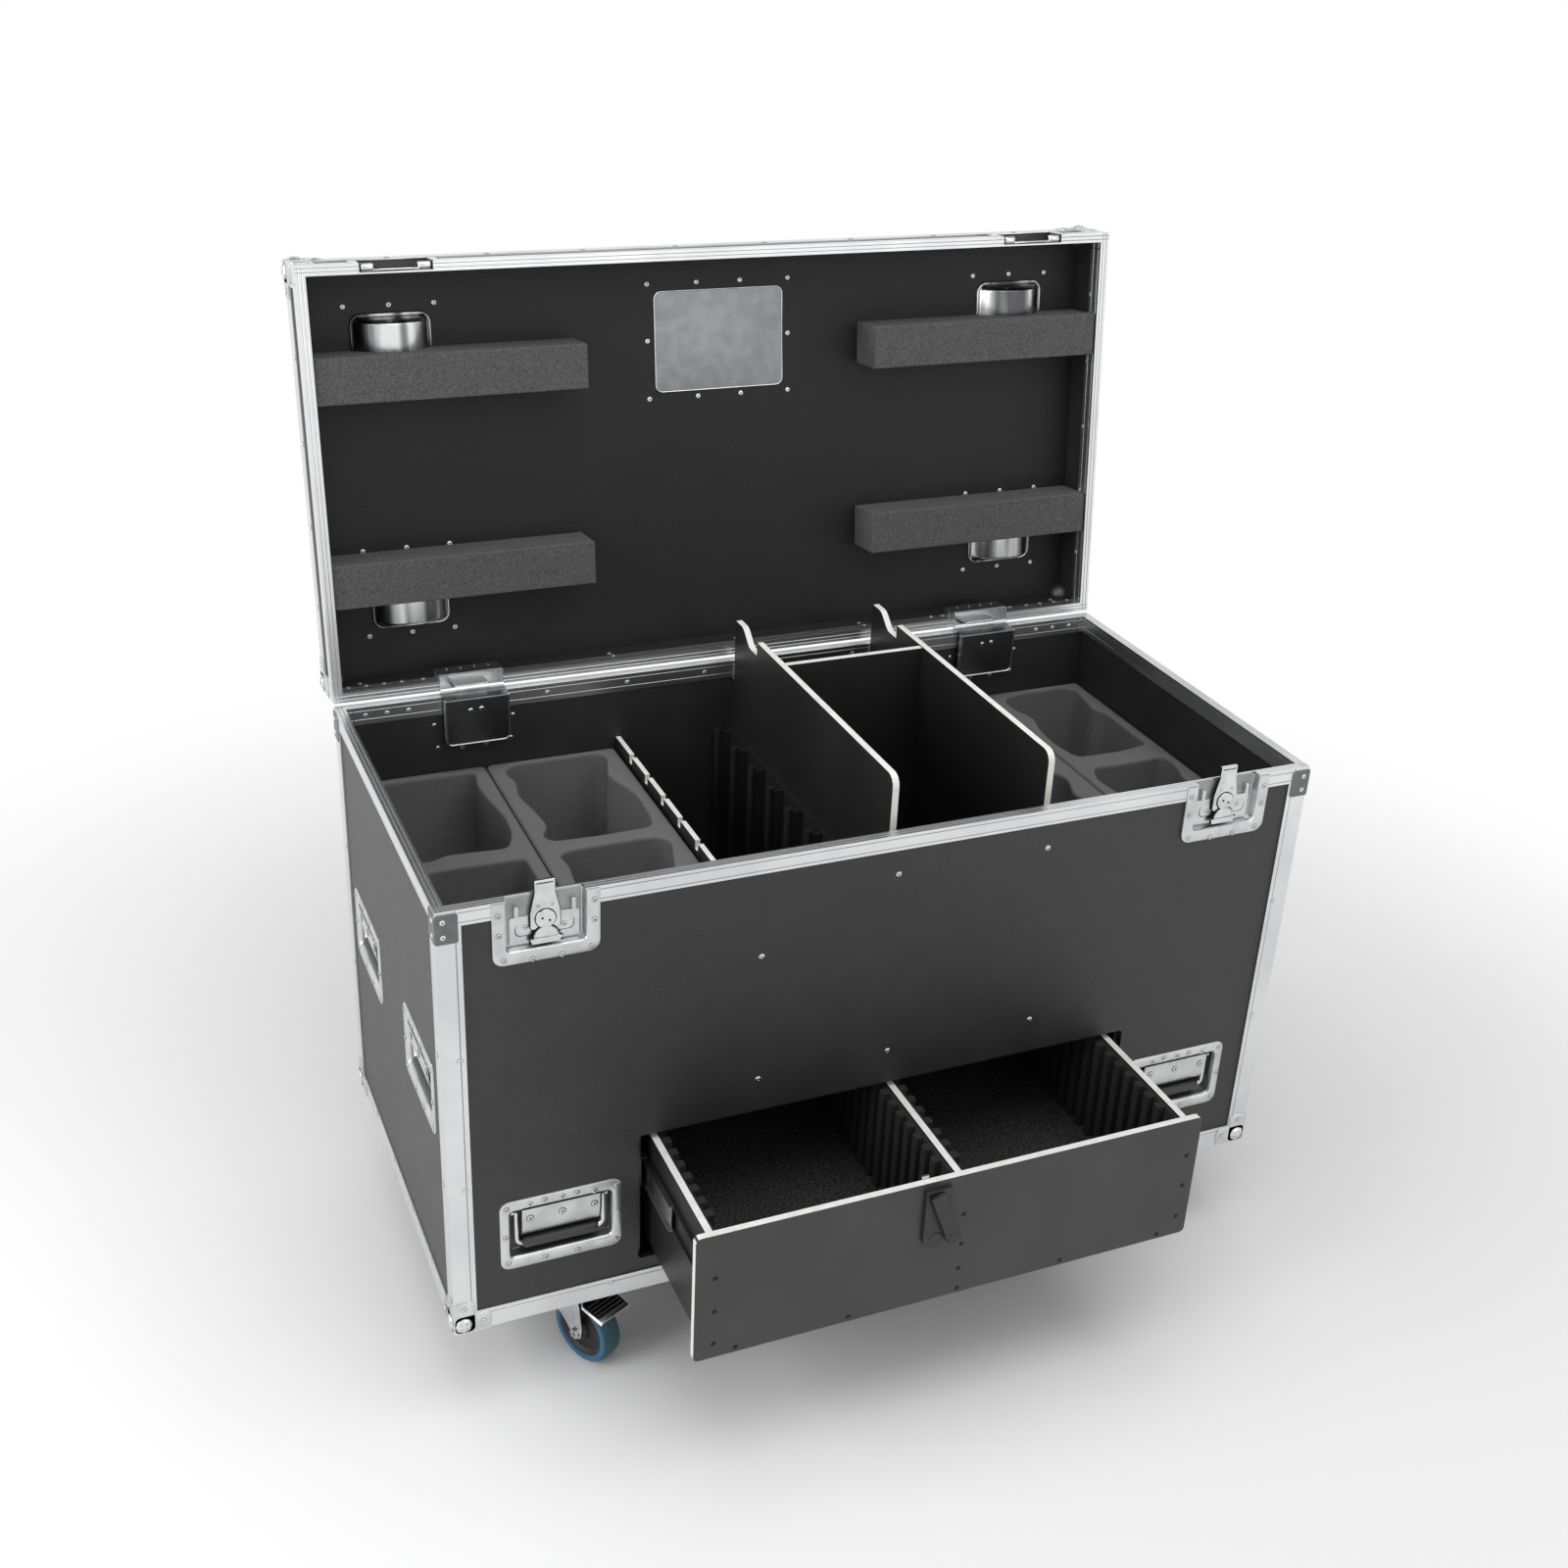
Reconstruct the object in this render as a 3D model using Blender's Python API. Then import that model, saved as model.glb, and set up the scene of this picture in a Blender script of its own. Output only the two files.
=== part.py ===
"""A charging flight case, modelled at real size in metres.

X runs to the right, Y to the back and Z up. The origin is the middle of the base's underside.
The case stands as it is shown: the lid is open and the drawer is partly out.
"""

import math

import bmesh
import bpy
from mathutils import Matrix, Vector

# Body and lid outside the aluminium
WIDTH = 1.200
DEPTH = 0.584
BODY_HEIGHT = 0.623
LID_DEPTH = 0.080
LID_OPEN = math.radians(96.17)
DRAWER_SHOWN_OUT = 0.2023

# Stock and clearances
FIT = 0.0003
METAL = 0.002
BOARD = 0.009
BASE_BOARD = 0.012
SHEET = 0.0012
EDGE_LEG = 0.030
RIM_OUTER_LEG = 0.022
RIM_INNER_LEG = 0.026
LID_GAP = 0.0008

# Corners of the frame
BALL_RADIUS = 0.018
BALL_INSET = 0.012
BALL_FLANGE = 0.046
BALL_FLANGE_WIDTH = 0.027
BRACE_WIDTH = 0.0265
BRACE_HEIGHT = 0.039
BRACE_BELOW_RIM = 0.004

# Lid hinges
HINGE_FROM_END = 0.194
HINGE_AXIS_OUT = 0.0014
HINGE_AXIS_ABOVE_RIM = 0.0024
HINGE_TUB_WIDTH = 0.092
HINGE_TUB_DROP = 0.070
HINGE_TUB_INWARD = 0.029
HINGE_LID_TUB_INWARD = 0.022
HINGE_LID_TUB_RISE = 0.034
HINGE_FLANGE_WIDTH = 0.128
HINGE_FLANGE_DROP = 0.090
HINGE_FLANGE_RISE = 0.046
KNUCKLE_RADIUS = 0.0045
KNUCKLE_HALF = 0.0235

# Front latches, in the body and in the lid
LATCH_FROM_END = 0.130
LATCH_FLANGE_WIDTH = 0.131
LATCH_FLANGE_DROP = 0.086
LATCH_TUB_WIDTH = 0.0955
LATCH_TUB_DROP = 0.073
LATCH_TUB_DEPTH = 0.0112
LATCH_LID_RISE = 0.040
BOSS_DROP = 0.033
BOSS_RADIUS = 0.0035
DRUM_RADIUS = 0.012
DRUM_THICKNESS = 0.002
DRUM_SET_BACK = 0.0008
WING_WIDTH = 0.041
WING_NEAR = 0.022
WING_FAR = 0.0375
HOOK_THICKNESS = 0.0016
HOOK_RISE = 0.018
HOOK_TIP_WIDTH = 0.0244
HOOK_WIDTH = 0.036
HOOK_TAIL = 0.013
HOOK_NOSE = 0.0030
HOOK_DROP = 0.0086
HOOK_DRAW_IN = 0.0020
STRIKE_LIP_SET_BACK = 0.0084
STRIKE_LIP_TOP = 0.0058

# Spring handles
HANDLE_WIDTH = 0.160
HANDLE_HEIGHT = 0.107
HANDLE_CORNER = 0.013
HANDLE_PAN_WIDTH = 0.133
HANDLE_PAN_HEIGHT = 0.072
HANDLE_PAN_DEPTH = 0.015
HANDLE_TOWARD_DRAWER = 0.0077
HANDLE_FRONT_Z = 0.137
HANDLE_SIDE_FROM_FACE = 0.139
HANDLE_SIDE_Z = 0.320
BAIL_PIVOT_ABOVE = 0.0275
BAIL_PIVOT_IN = 0.0075
BAIL_LEG_X = 0.0568
BAIL_LEG_WIDTH = 0.0075
BAIL_LEG_THICKNESS = 0.005
BAIL_GRIP_BELOW = 0.022
BAIL_GRIP_RADIUS = 0.007
BAIL_GRIP_LENGTH = 0.104
PAN_COVER_HEIGHT = 0.040

# Castors
CASTOR_FROM_END = 0.1765
CASTOR_FROM_FACE = 0.085
CASTOR_BOARD_WIDTH = 0.110
CASTOR_BOARD_LENGTH = 0.140
CASTOR_BOARD = 0.009
CASTOR_PLATE = 0.0025
CASTOR_PLATE_WIDTH = 0.085
CASTOR_PLATE_LENGTH = 0.105
WHEEL_RADIUS = 0.050
WHEEL_WIDTH = 0.032
WHEEL_HUB_WIDTH = 0.038
WHEEL_TRAIL = 0.036
CASTOR_HEIGHT = 0.129
FORK_METAL = 0.0025
FORK_TOP_LENGTH = 0.066
AXLE_RADIUS = 0.004
RACE_RADIUS = 0.027
RACE_HEIGHT = 0.003
PEDAL_PIVOT_TRAIL = 0.018
PEDAL_PIVOT_DROP = 0.0135
PEDAL_REACH = 0.090
PEDAL_FALL = 0.012
PEDAL_WIDTH = 0.054
CASTOR_HEADING = math.radians(-64)
CASTORS = {"front_left": (-1, -1), "front_right": (1, -1), "rear_left": (-1, 1), "rear_right": (1, 1)}

# Drawer, its opening and its bay
DRAWER_X = 0.002
OPENING_BESIDE_BOX = 0.0183
OPENING_BOTTOM = 0.049
OPENING_TOP = 0.2475
OPENING_CORNER = 0.006
FRONT_MARGIN = 0.0015
FRONT_BOTTOM = 0.0505
FRONT_TOP = 0.2415
FRONT_CORNER = 0.007
BOX_WIDTH = 0.6754
BOX_LENGTH = 0.500
BOX_BOTTOM = 0.064
BOX_TOP = 0.238
BOX_FLOOR = 0.006
BOX_FLOOR_ABOVE = 0.006
RUNNER_SPACE = 0.0127
RUNNER_MIDDLE_Z = 0.1835
RUNNER_HEIGHT = 0.043
RUNNER_LENGTH = 0.480
RUNNER_METAL = 0.0012
RUNNER_PLAY = 0.0006
DECK_BOTTOM = 0.2565
LINER_END_GAP = 0.008
CARPET = 0.004
COMB_PITCH = 0.025
COMB_TOOTH = 0.013
COMB_BACKING = 0.004
COMB_PROUD = 0.014
COMB_PLAIN_END = 0.025
COMB_TOP_BELOW = 0.003

# Drawer latch on the drawer front
CATCH_X = -0.032
CATCH_HOUSING_WIDTH = 0.036
CATCH_HOUSING_BOTTOM = 0.140
CATCH_HOUSING_TOP = 0.231
CATCH_HOUSING_PROUD = 0.006
LEVER_PIVOT_Z = 0.214
LEVER_WIDTH = 0.021
LEVER_LENGTH = 0.062
LEVER_THICKNESS = 0.010
LEVER_SWUNG = math.radians(21)
BOLT_X = -0.046
BOLT_WIDTH = 0.010
BOLT_THICKNESS = 0.003
BOLT_BOTTOM = 0.190
BOLT_TOP = 0.246

# Interior boards
BIN_LEFT_X = -0.014
BIN_RIGHT_X = 0.208
BIN_ABOVE_RIM = 0.063
BIN_FRONT_SET_BACK = 0.035
BIN_BACK_SET_BACK = 0.016
BIN_FRONT_CORNER = 0.015
BIN_CROSS_Y = 0.108
BIN_CROSS_BELOW_TOP = 0.002
HORN_LENGTH = 0.084
HORN_DIP = 0.020
SLOT_PANEL_X = -0.197
SLOT_PANEL_BOARD = 0.007
SLOT_PANEL_BELOW_RIM = 0.099
BAY_PITCH = 0.068
SLOT_WIDTH = 0.009
SLOT_DEPTH = 0.012
RAIL_BELOW_RIM = 0.1075
RAIL_BOARD = 0.006
FINGER_REACH = 0.031
FINGER_THICKNESS = 0.008
FINGER_POST_RADIUS = 0.0055
FINGER_POST_ABOVE = 0.004
FINGER_COUNT = 8
FIRST_FINGER = 0.0102

# Foam inserts and the foam bars of the lid
INSERT_BELOW_RIM = 0.115
INSERT_PANEL_GAP = 0.003
INSERT_BIN_GAP = 0.0005
INSERT_BETWEEN = 0.002
INSERT_INNER_LEFT_WIDTH = 0.193
INSERT_INNER_RIGHT_WIDTH = 0.2015
POCKET_DEPTH = 0.180
POCKET_MARGIN = 0.020
POCKET_LENGTH = 0.235
POCKET_BACK_MARGIN = 0.015
POCKET_WEB = 0.029
POCKET_ROUND = 0.014
DISH_RELIEF = 0.012
FOAM_BAR_WIDTH = 0.0605
FOAM_BAR_FROM_BACK = (0.130, 0.405)
FOAM_BAR_ABOVE_RIM = 0.004
FOAM_BAR_END_GAP = 0.0029
FOAM_BAR_LEFT_END = -0.216
FOAM_BAR_BIN_GAP = 0.001

# Castor cups and the label dish in the lid
CUP_FROM_END = 0.130
CUP_FROM_BACK = (0.124, 0.460)
CUP_FLANGE = 0.138
CUP_SQUARE = 0.108
CUP_SQUARE_CORNER = 0.016
CUP_SQUARE_DEPTH = 0.019
CUP_RADIUS = 0.0515
CUP_DEPTH = 0.043
LABEL_WIDTH = 0.196
LABEL_HEIGHT = 0.141
LABEL_FLANGE = 0.017
LABEL_FROM_BACK = 0.452
LABEL_CORNER = 0.010

# Worked out from the sizes above
HALF_X = WIDTH / 2
HALF_Y = DEPTH / 2
PANEL_FACE = METAL + FIT
PANEL_BACK = PANEL_FACE + BOARD
RIM_WIDTH = PANEL_BACK + FIT + METAL
INSIDE = PANEL_BACK + FIT
INSIDE_X = HALF_X - INSIDE
HINGE_X = HALF_X - HINGE_FROM_END
LATCH_X = HALF_X - LATCH_FROM_END
CUP_X = HALF_X - CUP_FROM_END
CASTOR_X = HALF_X - CASTOR_FROM_END
CASTOR_Y = HALF_Y - CASTOR_FROM_FACE
HANDLE_SIDE_Y = HALF_Y - HANDLE_SIDE_FROM_FACE
BAY_OUTSIDE = BOX_WIDTH / 2 + RUNNER_SPACE + BOARD
HANDLE_FRONT_X = (BAY_OUTSIDE + HALF_X - EDGE_LEG) / 2 - HANDLE_TOWARD_DRAWER
OPENING_WIDTH = BOX_WIDTH + 2 * OPENING_BESIDE_BOX
BIN_TOP = BODY_HEIGHT + BIN_ABOVE_RIM
SLOT_PANEL_TOP = BODY_HEIGHT - SLOT_PANEL_BELOW_RIM
RAIL_TOP = BODY_HEIGHT - RAIL_BELOW_RIM
INSERT_TOP = BODY_HEIGHT - INSERT_BELOW_RIM
INSERT_LEFT_INNER = SLOT_PANEL_X - INSERT_PANEL_GAP
INSERT_LEFT_MIDDLE = INSERT_LEFT_INNER - INSERT_INNER_LEFT_WIDTH
INSERT_RIGHT_INNER = BIN_RIGHT_X + BOARD + INSERT_BIN_GAP
INSERT_RIGHT_MIDDLE = INSERT_RIGHT_INNER + INSERT_INNER_RIGHT_WIDTH
INSERT_LEFT_EDGES = (
    2 * FIT - INSIDE_X, INSERT_LEFT_MIDDLE - INSERT_BETWEEN, INSERT_LEFT_MIDDLE, INSERT_LEFT_INNER
)
INSERT_RIGHT_EDGES = (
    INSERT_RIGHT_INNER, INSERT_RIGHT_MIDDLE, INSERT_RIGHT_MIDDLE + INSERT_BETWEEN, INSIDE_X - 2 * FIT
)
FOAM_BAR_LEFT = (FOAM_BAR_END_GAP - INSIDE_X, FOAM_BAR_LEFT_END)
FOAM_BAR_RIGHT = (BIN_RIGHT_X + BOARD + FOAM_BAR_BIN_GAP, INSIDE_X - FOAM_BAR_END_GAP)
DECK_TOP = DECK_BOTTOM + BOARD
LID_RIM = BODY_HEIGHT + LID_GAP
LID_TOP = LID_RIM + LID_DEPTH
LID_PANEL_OUT = LID_TOP - PANEL_FACE
LID_PANEL_IN = LID_PANEL_OUT - BOARD
HINGE_Y = HALF_Y + HINGE_AXIS_OUT
HINGE_Z = BODY_HEIGHT + HINGE_AXIS_ABOVE_RIM
FRONT_FACE = -HALF_Y + PANEL_FACE
BOSS_Z = BODY_HEIGHT - BOSS_DROP
CASTOR_TOP = -CASTOR_BOARD
AXLE_Z = CASTOR_TOP + WHEEL_RADIUS - CASTOR_HEIGHT - CASTOR_PLATE + 0.0005

CUT = "DIFFERENCE"
ADD = "UNION"


def clear_scene():
    """Empty the file of objects."""
    for item in list(bpy.data.objects):
        bpy.data.objects.remove(item, do_unlink=True)


def finish(name, colour, roughness, metallic):
    """A plain Principled finish."""
    made = bpy.data.materials.new(name)
    made.use_nodes = True
    shader = made.node_tree.nodes["Principled BSDF"]
    shader.inputs["Base Color"].default_value = (*colour, 1.0)
    shader.inputs["Roughness"].default_value = roughness
    shader.inputs["Metallic"].default_value = metallic
    return made


def closed_mesh(form):
    """The bmesh as a mesh with its faces pointing out and its round parts smooth."""
    bmesh.ops.recalc_face_normals(form, faces=form.faces)
    mesh = bpy.data.meshes.new("shape")
    form.to_mesh(mesh)
    form.free()
    mesh.shade_smooth()
    mesh.set_sharp_from_angle(angle=math.radians(35))
    return mesh


def prism(outline, axis, start, end):
    """An outline in the plane square to an axis, carried from start to end along it."""
    across, up, along = {"X": (1, 2, 0), "Y": (0, 2, 1), "Z": (0, 1, 2)}[axis]
    form = bmesh.new()
    rings = []
    for level in (start, end):
        ring = []
        for first, second in outline:
            place = [0.0, 0.0, 0.0]
            place[across] = first
            place[up] = second
            place[along] = level
            ring.append(form.verts.new(place))
        rings.append(ring)
    form.faces.new(rings[0])
    form.faces.new(rings[1])
    count = len(outline)
    for here in range(count):
        after = (here + 1) % count
        form.faces.new((rings[0][here], rings[0][after], rings[1][after], rings[1][here]))
    return closed_mesh(form)


def block(first, second):
    """A box between two opposite corners, given in any order."""
    low = [min(pair) for pair in zip(first, second)]
    high = [max(pair) for pair in zip(first, second)]
    outline = ((low[0], low[1]), (high[0], low[1]), (high[0], high[1]), (low[0], high[1]))
    return prism(outline, "Z", low[2], high[2])


def rounded(centre, width, height, radius, steps=3, corners="abcd"):
    """A rectangle whose named corners are arcs: a and b are the lower two, c and d the upper."""
    outline = []
    signs = {"a": (-1, -1), "b": (1, -1), "c": (1, 1), "d": (-1, 1)}
    for turn, corner in enumerate("abcd"):
        across, up = signs[corner]
        if corner not in corners:
            outline.append((centre[0] + across * width / 2, centre[1] + up * height / 2))
            continue
        middle_x = centre[0] + across * (width / 2 - radius)
        middle_y = centre[1] + up * (height / 2 - radius)
        for step in range(steps + 1):
            angle = math.pi + (turn + step / steps) * math.pi / 2
            outline.append((middle_x + radius * math.cos(angle), middle_y + radius * math.sin(angle)))
    return outline


def softened(points, radius, steps=3):
    """A closed outline with each corner rounded by a short curve of the given reach."""
    outline = []
    count = len(points)
    for here in range(count):
        corner = Vector(points[here])
        before = Vector(points[here - 1]) - corner
        after = Vector(points[(here + 1) % count]) - corner
        reach = min(radius, before.length * 0.45, after.length * 0.45)
        start = corner + before.normalized() * reach
        end = corner + after.normalized() * reach
        for step in range(steps + 1):
            share = step / steps
            curve = start * (1 - share) ** 2 + corner * 2 * share * (1 - share) + end * share**2
            outline.append((curve.x, curve.y))
    return outline


def round_bar(centre, radius, axis, start, end, segments=16):
    """A round bar along an axis; centre gives its other two coordinates."""
    outline = []
    for step in range(segments):
        angle = 2 * math.pi * step / segments
        outline.append((centre[0] + radius * math.cos(angle), centre[1] + radius * math.sin(angle)))
    return prism(outline, axis, start, end)


def ball(centre, radius):
    """A sphere."""
    form = bmesh.new()
    bmesh.ops.create_uvsphere(form, u_segments=14, v_segments=8, radius=radius)
    bmesh.ops.translate(form, vec=Vector(centre), verts=form.verts)
    return closed_mesh(form)


def turned(profile, segments):
    """A closed profile of (radius, along) points, all off the axis, spun round the Y axis."""
    form = bmesh.new()
    rings = []
    for step in range(segments):
        angle = 2 * math.pi * step / segments
        ring = [
            form.verts.new((radius * math.cos(angle), along, radius * math.sin(angle)))
            for radius, along in profile
        ]
        rings.append(ring)
    count = len(profile)
    for step in range(segments):
        one = rings[step]
        two = rings[(step + 1) % segments]
        for here in range(count):
            after = (here + 1) % count
            form.faces.new((one[here], one[after], two[after], two[here]))
    return closed_mesh(form)


def ring(outer, inner, low, high):
    """An upright rectangular ring from one inset of the body's plan to another."""
    form = bmesh.new()
    loops = []
    for inset, level in ((outer, low), (inner, low), (inner, high), (outer, high)):
        across = HALF_X - inset
        back = HALF_Y - inset
        corners = ((-across, -back), (across, -back), (across, back), (-across, back))
        loops.append([form.verts.new((x, y, level)) for x, y in corners])
    for here in range(4):
        after = (here + 1) % 4
        for side in range(4):
            other = (side + 1) % 4
            form.faces.new((loops[here][side], loops[here][other], loops[after][other], loops[after][side]))
    return closed_mesh(form)


def together(*meshes):
    """Separate closed shapes as one mesh."""
    form = bmesh.new()
    for mesh in meshes:
        form.from_mesh(mesh)
    joined = bpy.data.meshes.new("shapes")
    form.to_mesh(joined)
    form.free()
    return joined


def moved(mesh, matrix):
    """A copy of the mesh, moved."""
    copy = mesh.copy()
    copy.transform(matrix)
    return copy


def shaped(base, *steps):
    """The mesh that is left when each step has cut or added its shape, in order."""
    collection = bpy.context.scene.collection
    blank = bpy.data.objects.new("blank", base)
    collection.objects.link(blank)
    tools = []
    for number, (operation, mesh) in enumerate(steps):
        tool = bpy.data.objects.new(f"tool_{number}", mesh)
        tool.hide_render = True
        tool.display_type = "WIRE"
        collection.objects.link(tool)
        tools.append(tool)
        change = blank.modifiers.new(f"step_{number}", "BOOLEAN")
        change.operation = operation
        change.solver = "EXACT"
        change.object = tool
    bpy.context.view_layer.update()
    graph = bpy.context.evaluated_depsgraph_get()
    result = bpy.data.meshes.new_from_object(blank.evaluated_get(graph))
    for item in (blank, *tools):
        bpy.data.objects.remove(item, do_unlink=True)
    return result


def holder(name, location, rotation=(0, 0, 0), parent=None):
    """An empty on a joint's axis, which carries the pieces that move with it."""
    empty = bpy.data.objects.new(name, None)
    empty.empty_display_size = 0.05
    empty.location = location
    empty.rotation_euler = rotation
    empty.parent = parent
    bpy.context.scene.collection.objects.link(empty)
    return empty


def piece(name, mesh, surface, location=(0, 0, 0), rotation=(0, 0, 0), parent=None):
    """A named object that is one physical piece."""
    item = bpy.data.objects.new(name, mesh)
    item.data.materials.clear()
    item.data.materials.append(surface)
    item.location = location
    item.rotation_euler = rotation
    item.parent = parent
    bpy.context.scene.collection.objects.link(item)
    return item


def about(mesh, pivot):
    """The mesh with its coordinates counted from a pivot."""
    return moved(mesh, Matrix.Translation(-Vector(pivot)))


def both_sides(make):
    """The left and right copies of a shape, as one mesh."""
    return together(make(-1), make(1))


def corner_ball_shapes(outer, rim):
    """Pressed ball corners on the four outer corners, each with three flanges over the edges."""
    shapes = []
    toward = math.copysign(1.0, rim - outer)
    for side_x in (-1, 1):
        for side_y in (-1, 1):
            corner = Vector((side_x * HALF_X, side_y * HALF_Y, outer))
            inward = Vector((-side_x, -side_y, toward))
            shapes.append(ball(corner + inward * BALL_INSET, BALL_RADIUS))
            for long_axis in range(3):
                reach = Vector((BALL_FLANGE_WIDTH,) * 3)
                reach[long_axis] = BALL_FLANGE
                start = corner - inward * SHEET
                end = corner + Vector(a * b for a, b in zip(inward, reach))
                shapes.append(block(start, end))
    return shapes


def edge_frame(outer, rim, extras):
    """Aluminium angles on the outer edges and posts, and a channel round the rim."""
    toward = math.copysign(1.0, rim - outer)
    blank = block((-HALF_X, -HALF_Y, outer), (HALF_X, HALF_Y, rim))
    steps = [(ADD, shape) for shape in extras]
    inner_edge = rim - toward * RIM_INNER_LEG
    below_channel = inner_edge - toward * METAL
    chamber_x = HALF_X - METAL
    chamber_y = HALF_Y - METAL
    chamber = block(
        (-chamber_x, -chamber_y, outer + toward * METAL), (chamber_x, chamber_y, inner_edge)
    )
    mouth_x = HALF_X - RIM_WIDTH
    mouth_y = HALF_Y - RIM_WIDTH
    mouth = block((-mouth_x, -mouth_y, below_channel), (mouth_x, mouth_y, rim + toward * EDGE_LEG))
    channel = ring(METAL, RIM_WIDTH - METAL, *sorted((below_channel, rim - toward * METAL)))
    window_low = outer + toward * EDGE_LEG
    window_high = rim - toward * RIM_OUTER_LEG
    across = HALF_X - EDGE_LEG
    back = HALF_Y - EDGE_LEG
    windows = []
    for side in (-1, 1):
        through_y = (side * (HALF_Y - METAL - FIT), side * (HALF_Y + EDGE_LEG))
        windows.append(block((-across, through_y[0], window_low), (across, through_y[1], window_high)))
        through_x = (side * (HALF_X - METAL - FIT), side * (HALF_X + EDGE_LEG))
        windows.append(block((through_x[0], -back, window_low), (through_x[1], back, window_high)))
    field = block((-across, -back, outer - toward * EDGE_LEG), (across, back, outer + toward * EDGE_LEG))
    for cutter in (chamber, mouth, channel, together(*windows), field):
        steps.append((CUT, cutter))
    return blank, steps


def latch_notches(low, high):
    """What the latch dishes take out of a rim and the board behind it."""
    half = LATCH_TUB_WIDTH / 2 + FIT
    depth = -HALF_Y + LATCH_TUB_DEPTH + FIT
    return both_sides(
        lambda side: block(
            (side * LATCH_X - half, -HALF_Y - EDGE_LEG, low), (side * LATCH_X + half, depth, high)
        )
    )


def hinge_notches(low, high):
    """What the hinge dishes take out of a rim and the board behind it."""
    half = HINGE_TUB_WIDTH / 2 + FIT
    return both_sides(
        lambda side: block(
            (side * HINGE_X - half, HALF_Y - RIM_WIDTH - METAL, low),
            (side * HINGE_X + half, HALF_Y + EDGE_LEG, high),
        )
    )


def make_case_frame(aluminium):
    """The body's angles, rim channel, ball corners and rim braces, and the rim between the hinges."""
    extras = corner_ball_shapes(0.0, BODY_HEIGHT)
    brace_top = BODY_HEIGHT - BRACE_BELOW_RIM
    for side_x in (-1, 1):
        for side_y in (-1, 1):
            start = (side_x * (HALF_X + SHEET), side_y * (HALF_Y + SHEET), brace_top - BRACE_HEIGHT)
            end = (side_x * (HALF_X - BRACE_WIDTH), side_y * (HALF_Y - BRACE_WIDTH), brace_top)
            extras.append(block(start, end))
    blank, steps = edge_frame(0.0, BODY_HEIGHT, extras)
    top = BODY_HEIGHT + EDGE_LEG
    steps.append((CUT, latch_notches(BODY_HEIGHT - LATCH_TUB_DROP - METAL, top)))
    outer_end = HINGE_X + HINGE_TUB_WIDTH / 2 + FIT
    gap = block(
        (-outer_end, HALF_Y - RIM_WIDTH - METAL, BODY_HEIGHT - HINGE_TUB_DROP),
        (outer_end, HALF_Y + EDGE_LEG, top),
    )
    steps.append((CUT, gap))
    piece("case_frame", shaped(blank, *steps), aluminium)

    inner_end = HINGE_X - HINGE_TUB_WIDTH / 2 - FIT
    channel = (
        (HALF_Y, BODY_HEIGHT - RIM_OUTER_LEG),
        (HALF_Y, BODY_HEIGHT),
        (HALF_Y - RIM_WIDTH, BODY_HEIGHT),
        (HALF_Y - RIM_WIDTH, BODY_HEIGHT - RIM_INNER_LEG),
        (HALF_Y - RIM_WIDTH + METAL, BODY_HEIGHT - RIM_INNER_LEG),
        (HALF_Y - RIM_WIDTH + METAL, BODY_HEIGHT - METAL),
        (HALF_Y - METAL, BODY_HEIGHT - METAL),
        (HALF_Y - METAL, BODY_HEIGHT - RIM_OUTER_LEG),
    )
    piece("rear_rim", prism(channel, "X", -inner_end, inner_end), aluminium)


def handle_places():
    """Each handle's name, the middle of its dish on the board's face, and its turn about Z."""
    side_face = HALF_X - PANEL_FACE
    places = []
    for word, side in (("left", -1), ("right", 1)):
        places.append((f"front_{word}", (side * HANDLE_FRONT_X, FRONT_FACE, HANDLE_FRONT_Z), 0.0))
    for word, side in (("left", -1), ("right", 1)):
        turn = side * math.pi / 2
        for where, along in (("front", -HANDLE_SIDE_Y), ("rear", HANDLE_SIDE_Y)):
            places.append((f"{word}_{where}", (side * side_face, along, HANDLE_SIDE_Z), turn))
    return places


def handle_holes():
    """The holes that the handle dishes pass through, all round the body."""
    width = HANDLE_PAN_WIDTH + 2 * (SHEET + FIT)
    height = HANDLE_PAN_HEIGHT + 2 * (SHEET + FIT)
    outline = rounded((0, 0), width, height, HANDLE_CORNER * 0.6)
    hole = prism(outline, "Y", -BOARD, 2 * BOARD)
    holes = []
    for _, location, turn in handle_places():
        holes.append(moved(hole, Matrix.Translation(location) @ Matrix.Rotation(turn, 4, "Z")))
    return together(*holes)


def make_panels(laminate):
    """The four walls of laminated board, which stand in the angles."""
    low = PANEL_FACE
    high = BODY_HEIGHT - PANEL_FACE
    face_x = HALF_X - PANEL_FACE
    face_y = HALF_Y - PANEL_FACE
    back_y = HALF_Y - PANEL_BACK
    opening_height = OPENING_TOP - OPENING_BOTTOM
    opening_middle = (DRAWER_X, (OPENING_TOP + OPENING_BOTTOM) / 2)
    opening = prism(
        rounded(opening_middle, OPENING_WIDTH, opening_height, OPENING_CORNER),
        "Y",
        -HALF_Y - BOARD,
        -HALF_Y + 2 * BOARD,
    )
    latch_holes = latch_notches(BODY_HEIGHT - LATCH_TUB_DROP - FIT, BODY_HEIGHT + BOARD)
    front = shaped(
        block((-face_x, -face_y, low), (face_x, -back_y, high)),
        (CUT, opening),
        (CUT, latch_holes),
        (CUT, handle_holes()),
    )
    piece("front_panel", front, laminate)
    hinge_holes = hinge_notches(BODY_HEIGHT - HINGE_TUB_DROP - FIT, BODY_HEIGHT + BOARD)
    back = shaped(block((-face_x, back_y, low), (face_x, face_y, high)), (CUT, hinge_holes))
    piece("back_panel", back, laminate)
    side_y = back_y - FIT
    for word, side in (("left", -1), ("right", 1)):
        wall = block((side * face_x, -side_y, low), (side * (face_x - BOARD), side_y, high))
        piece(f"{word}_panel", shaped(wall, (CUT, handle_holes())), laminate)


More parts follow.
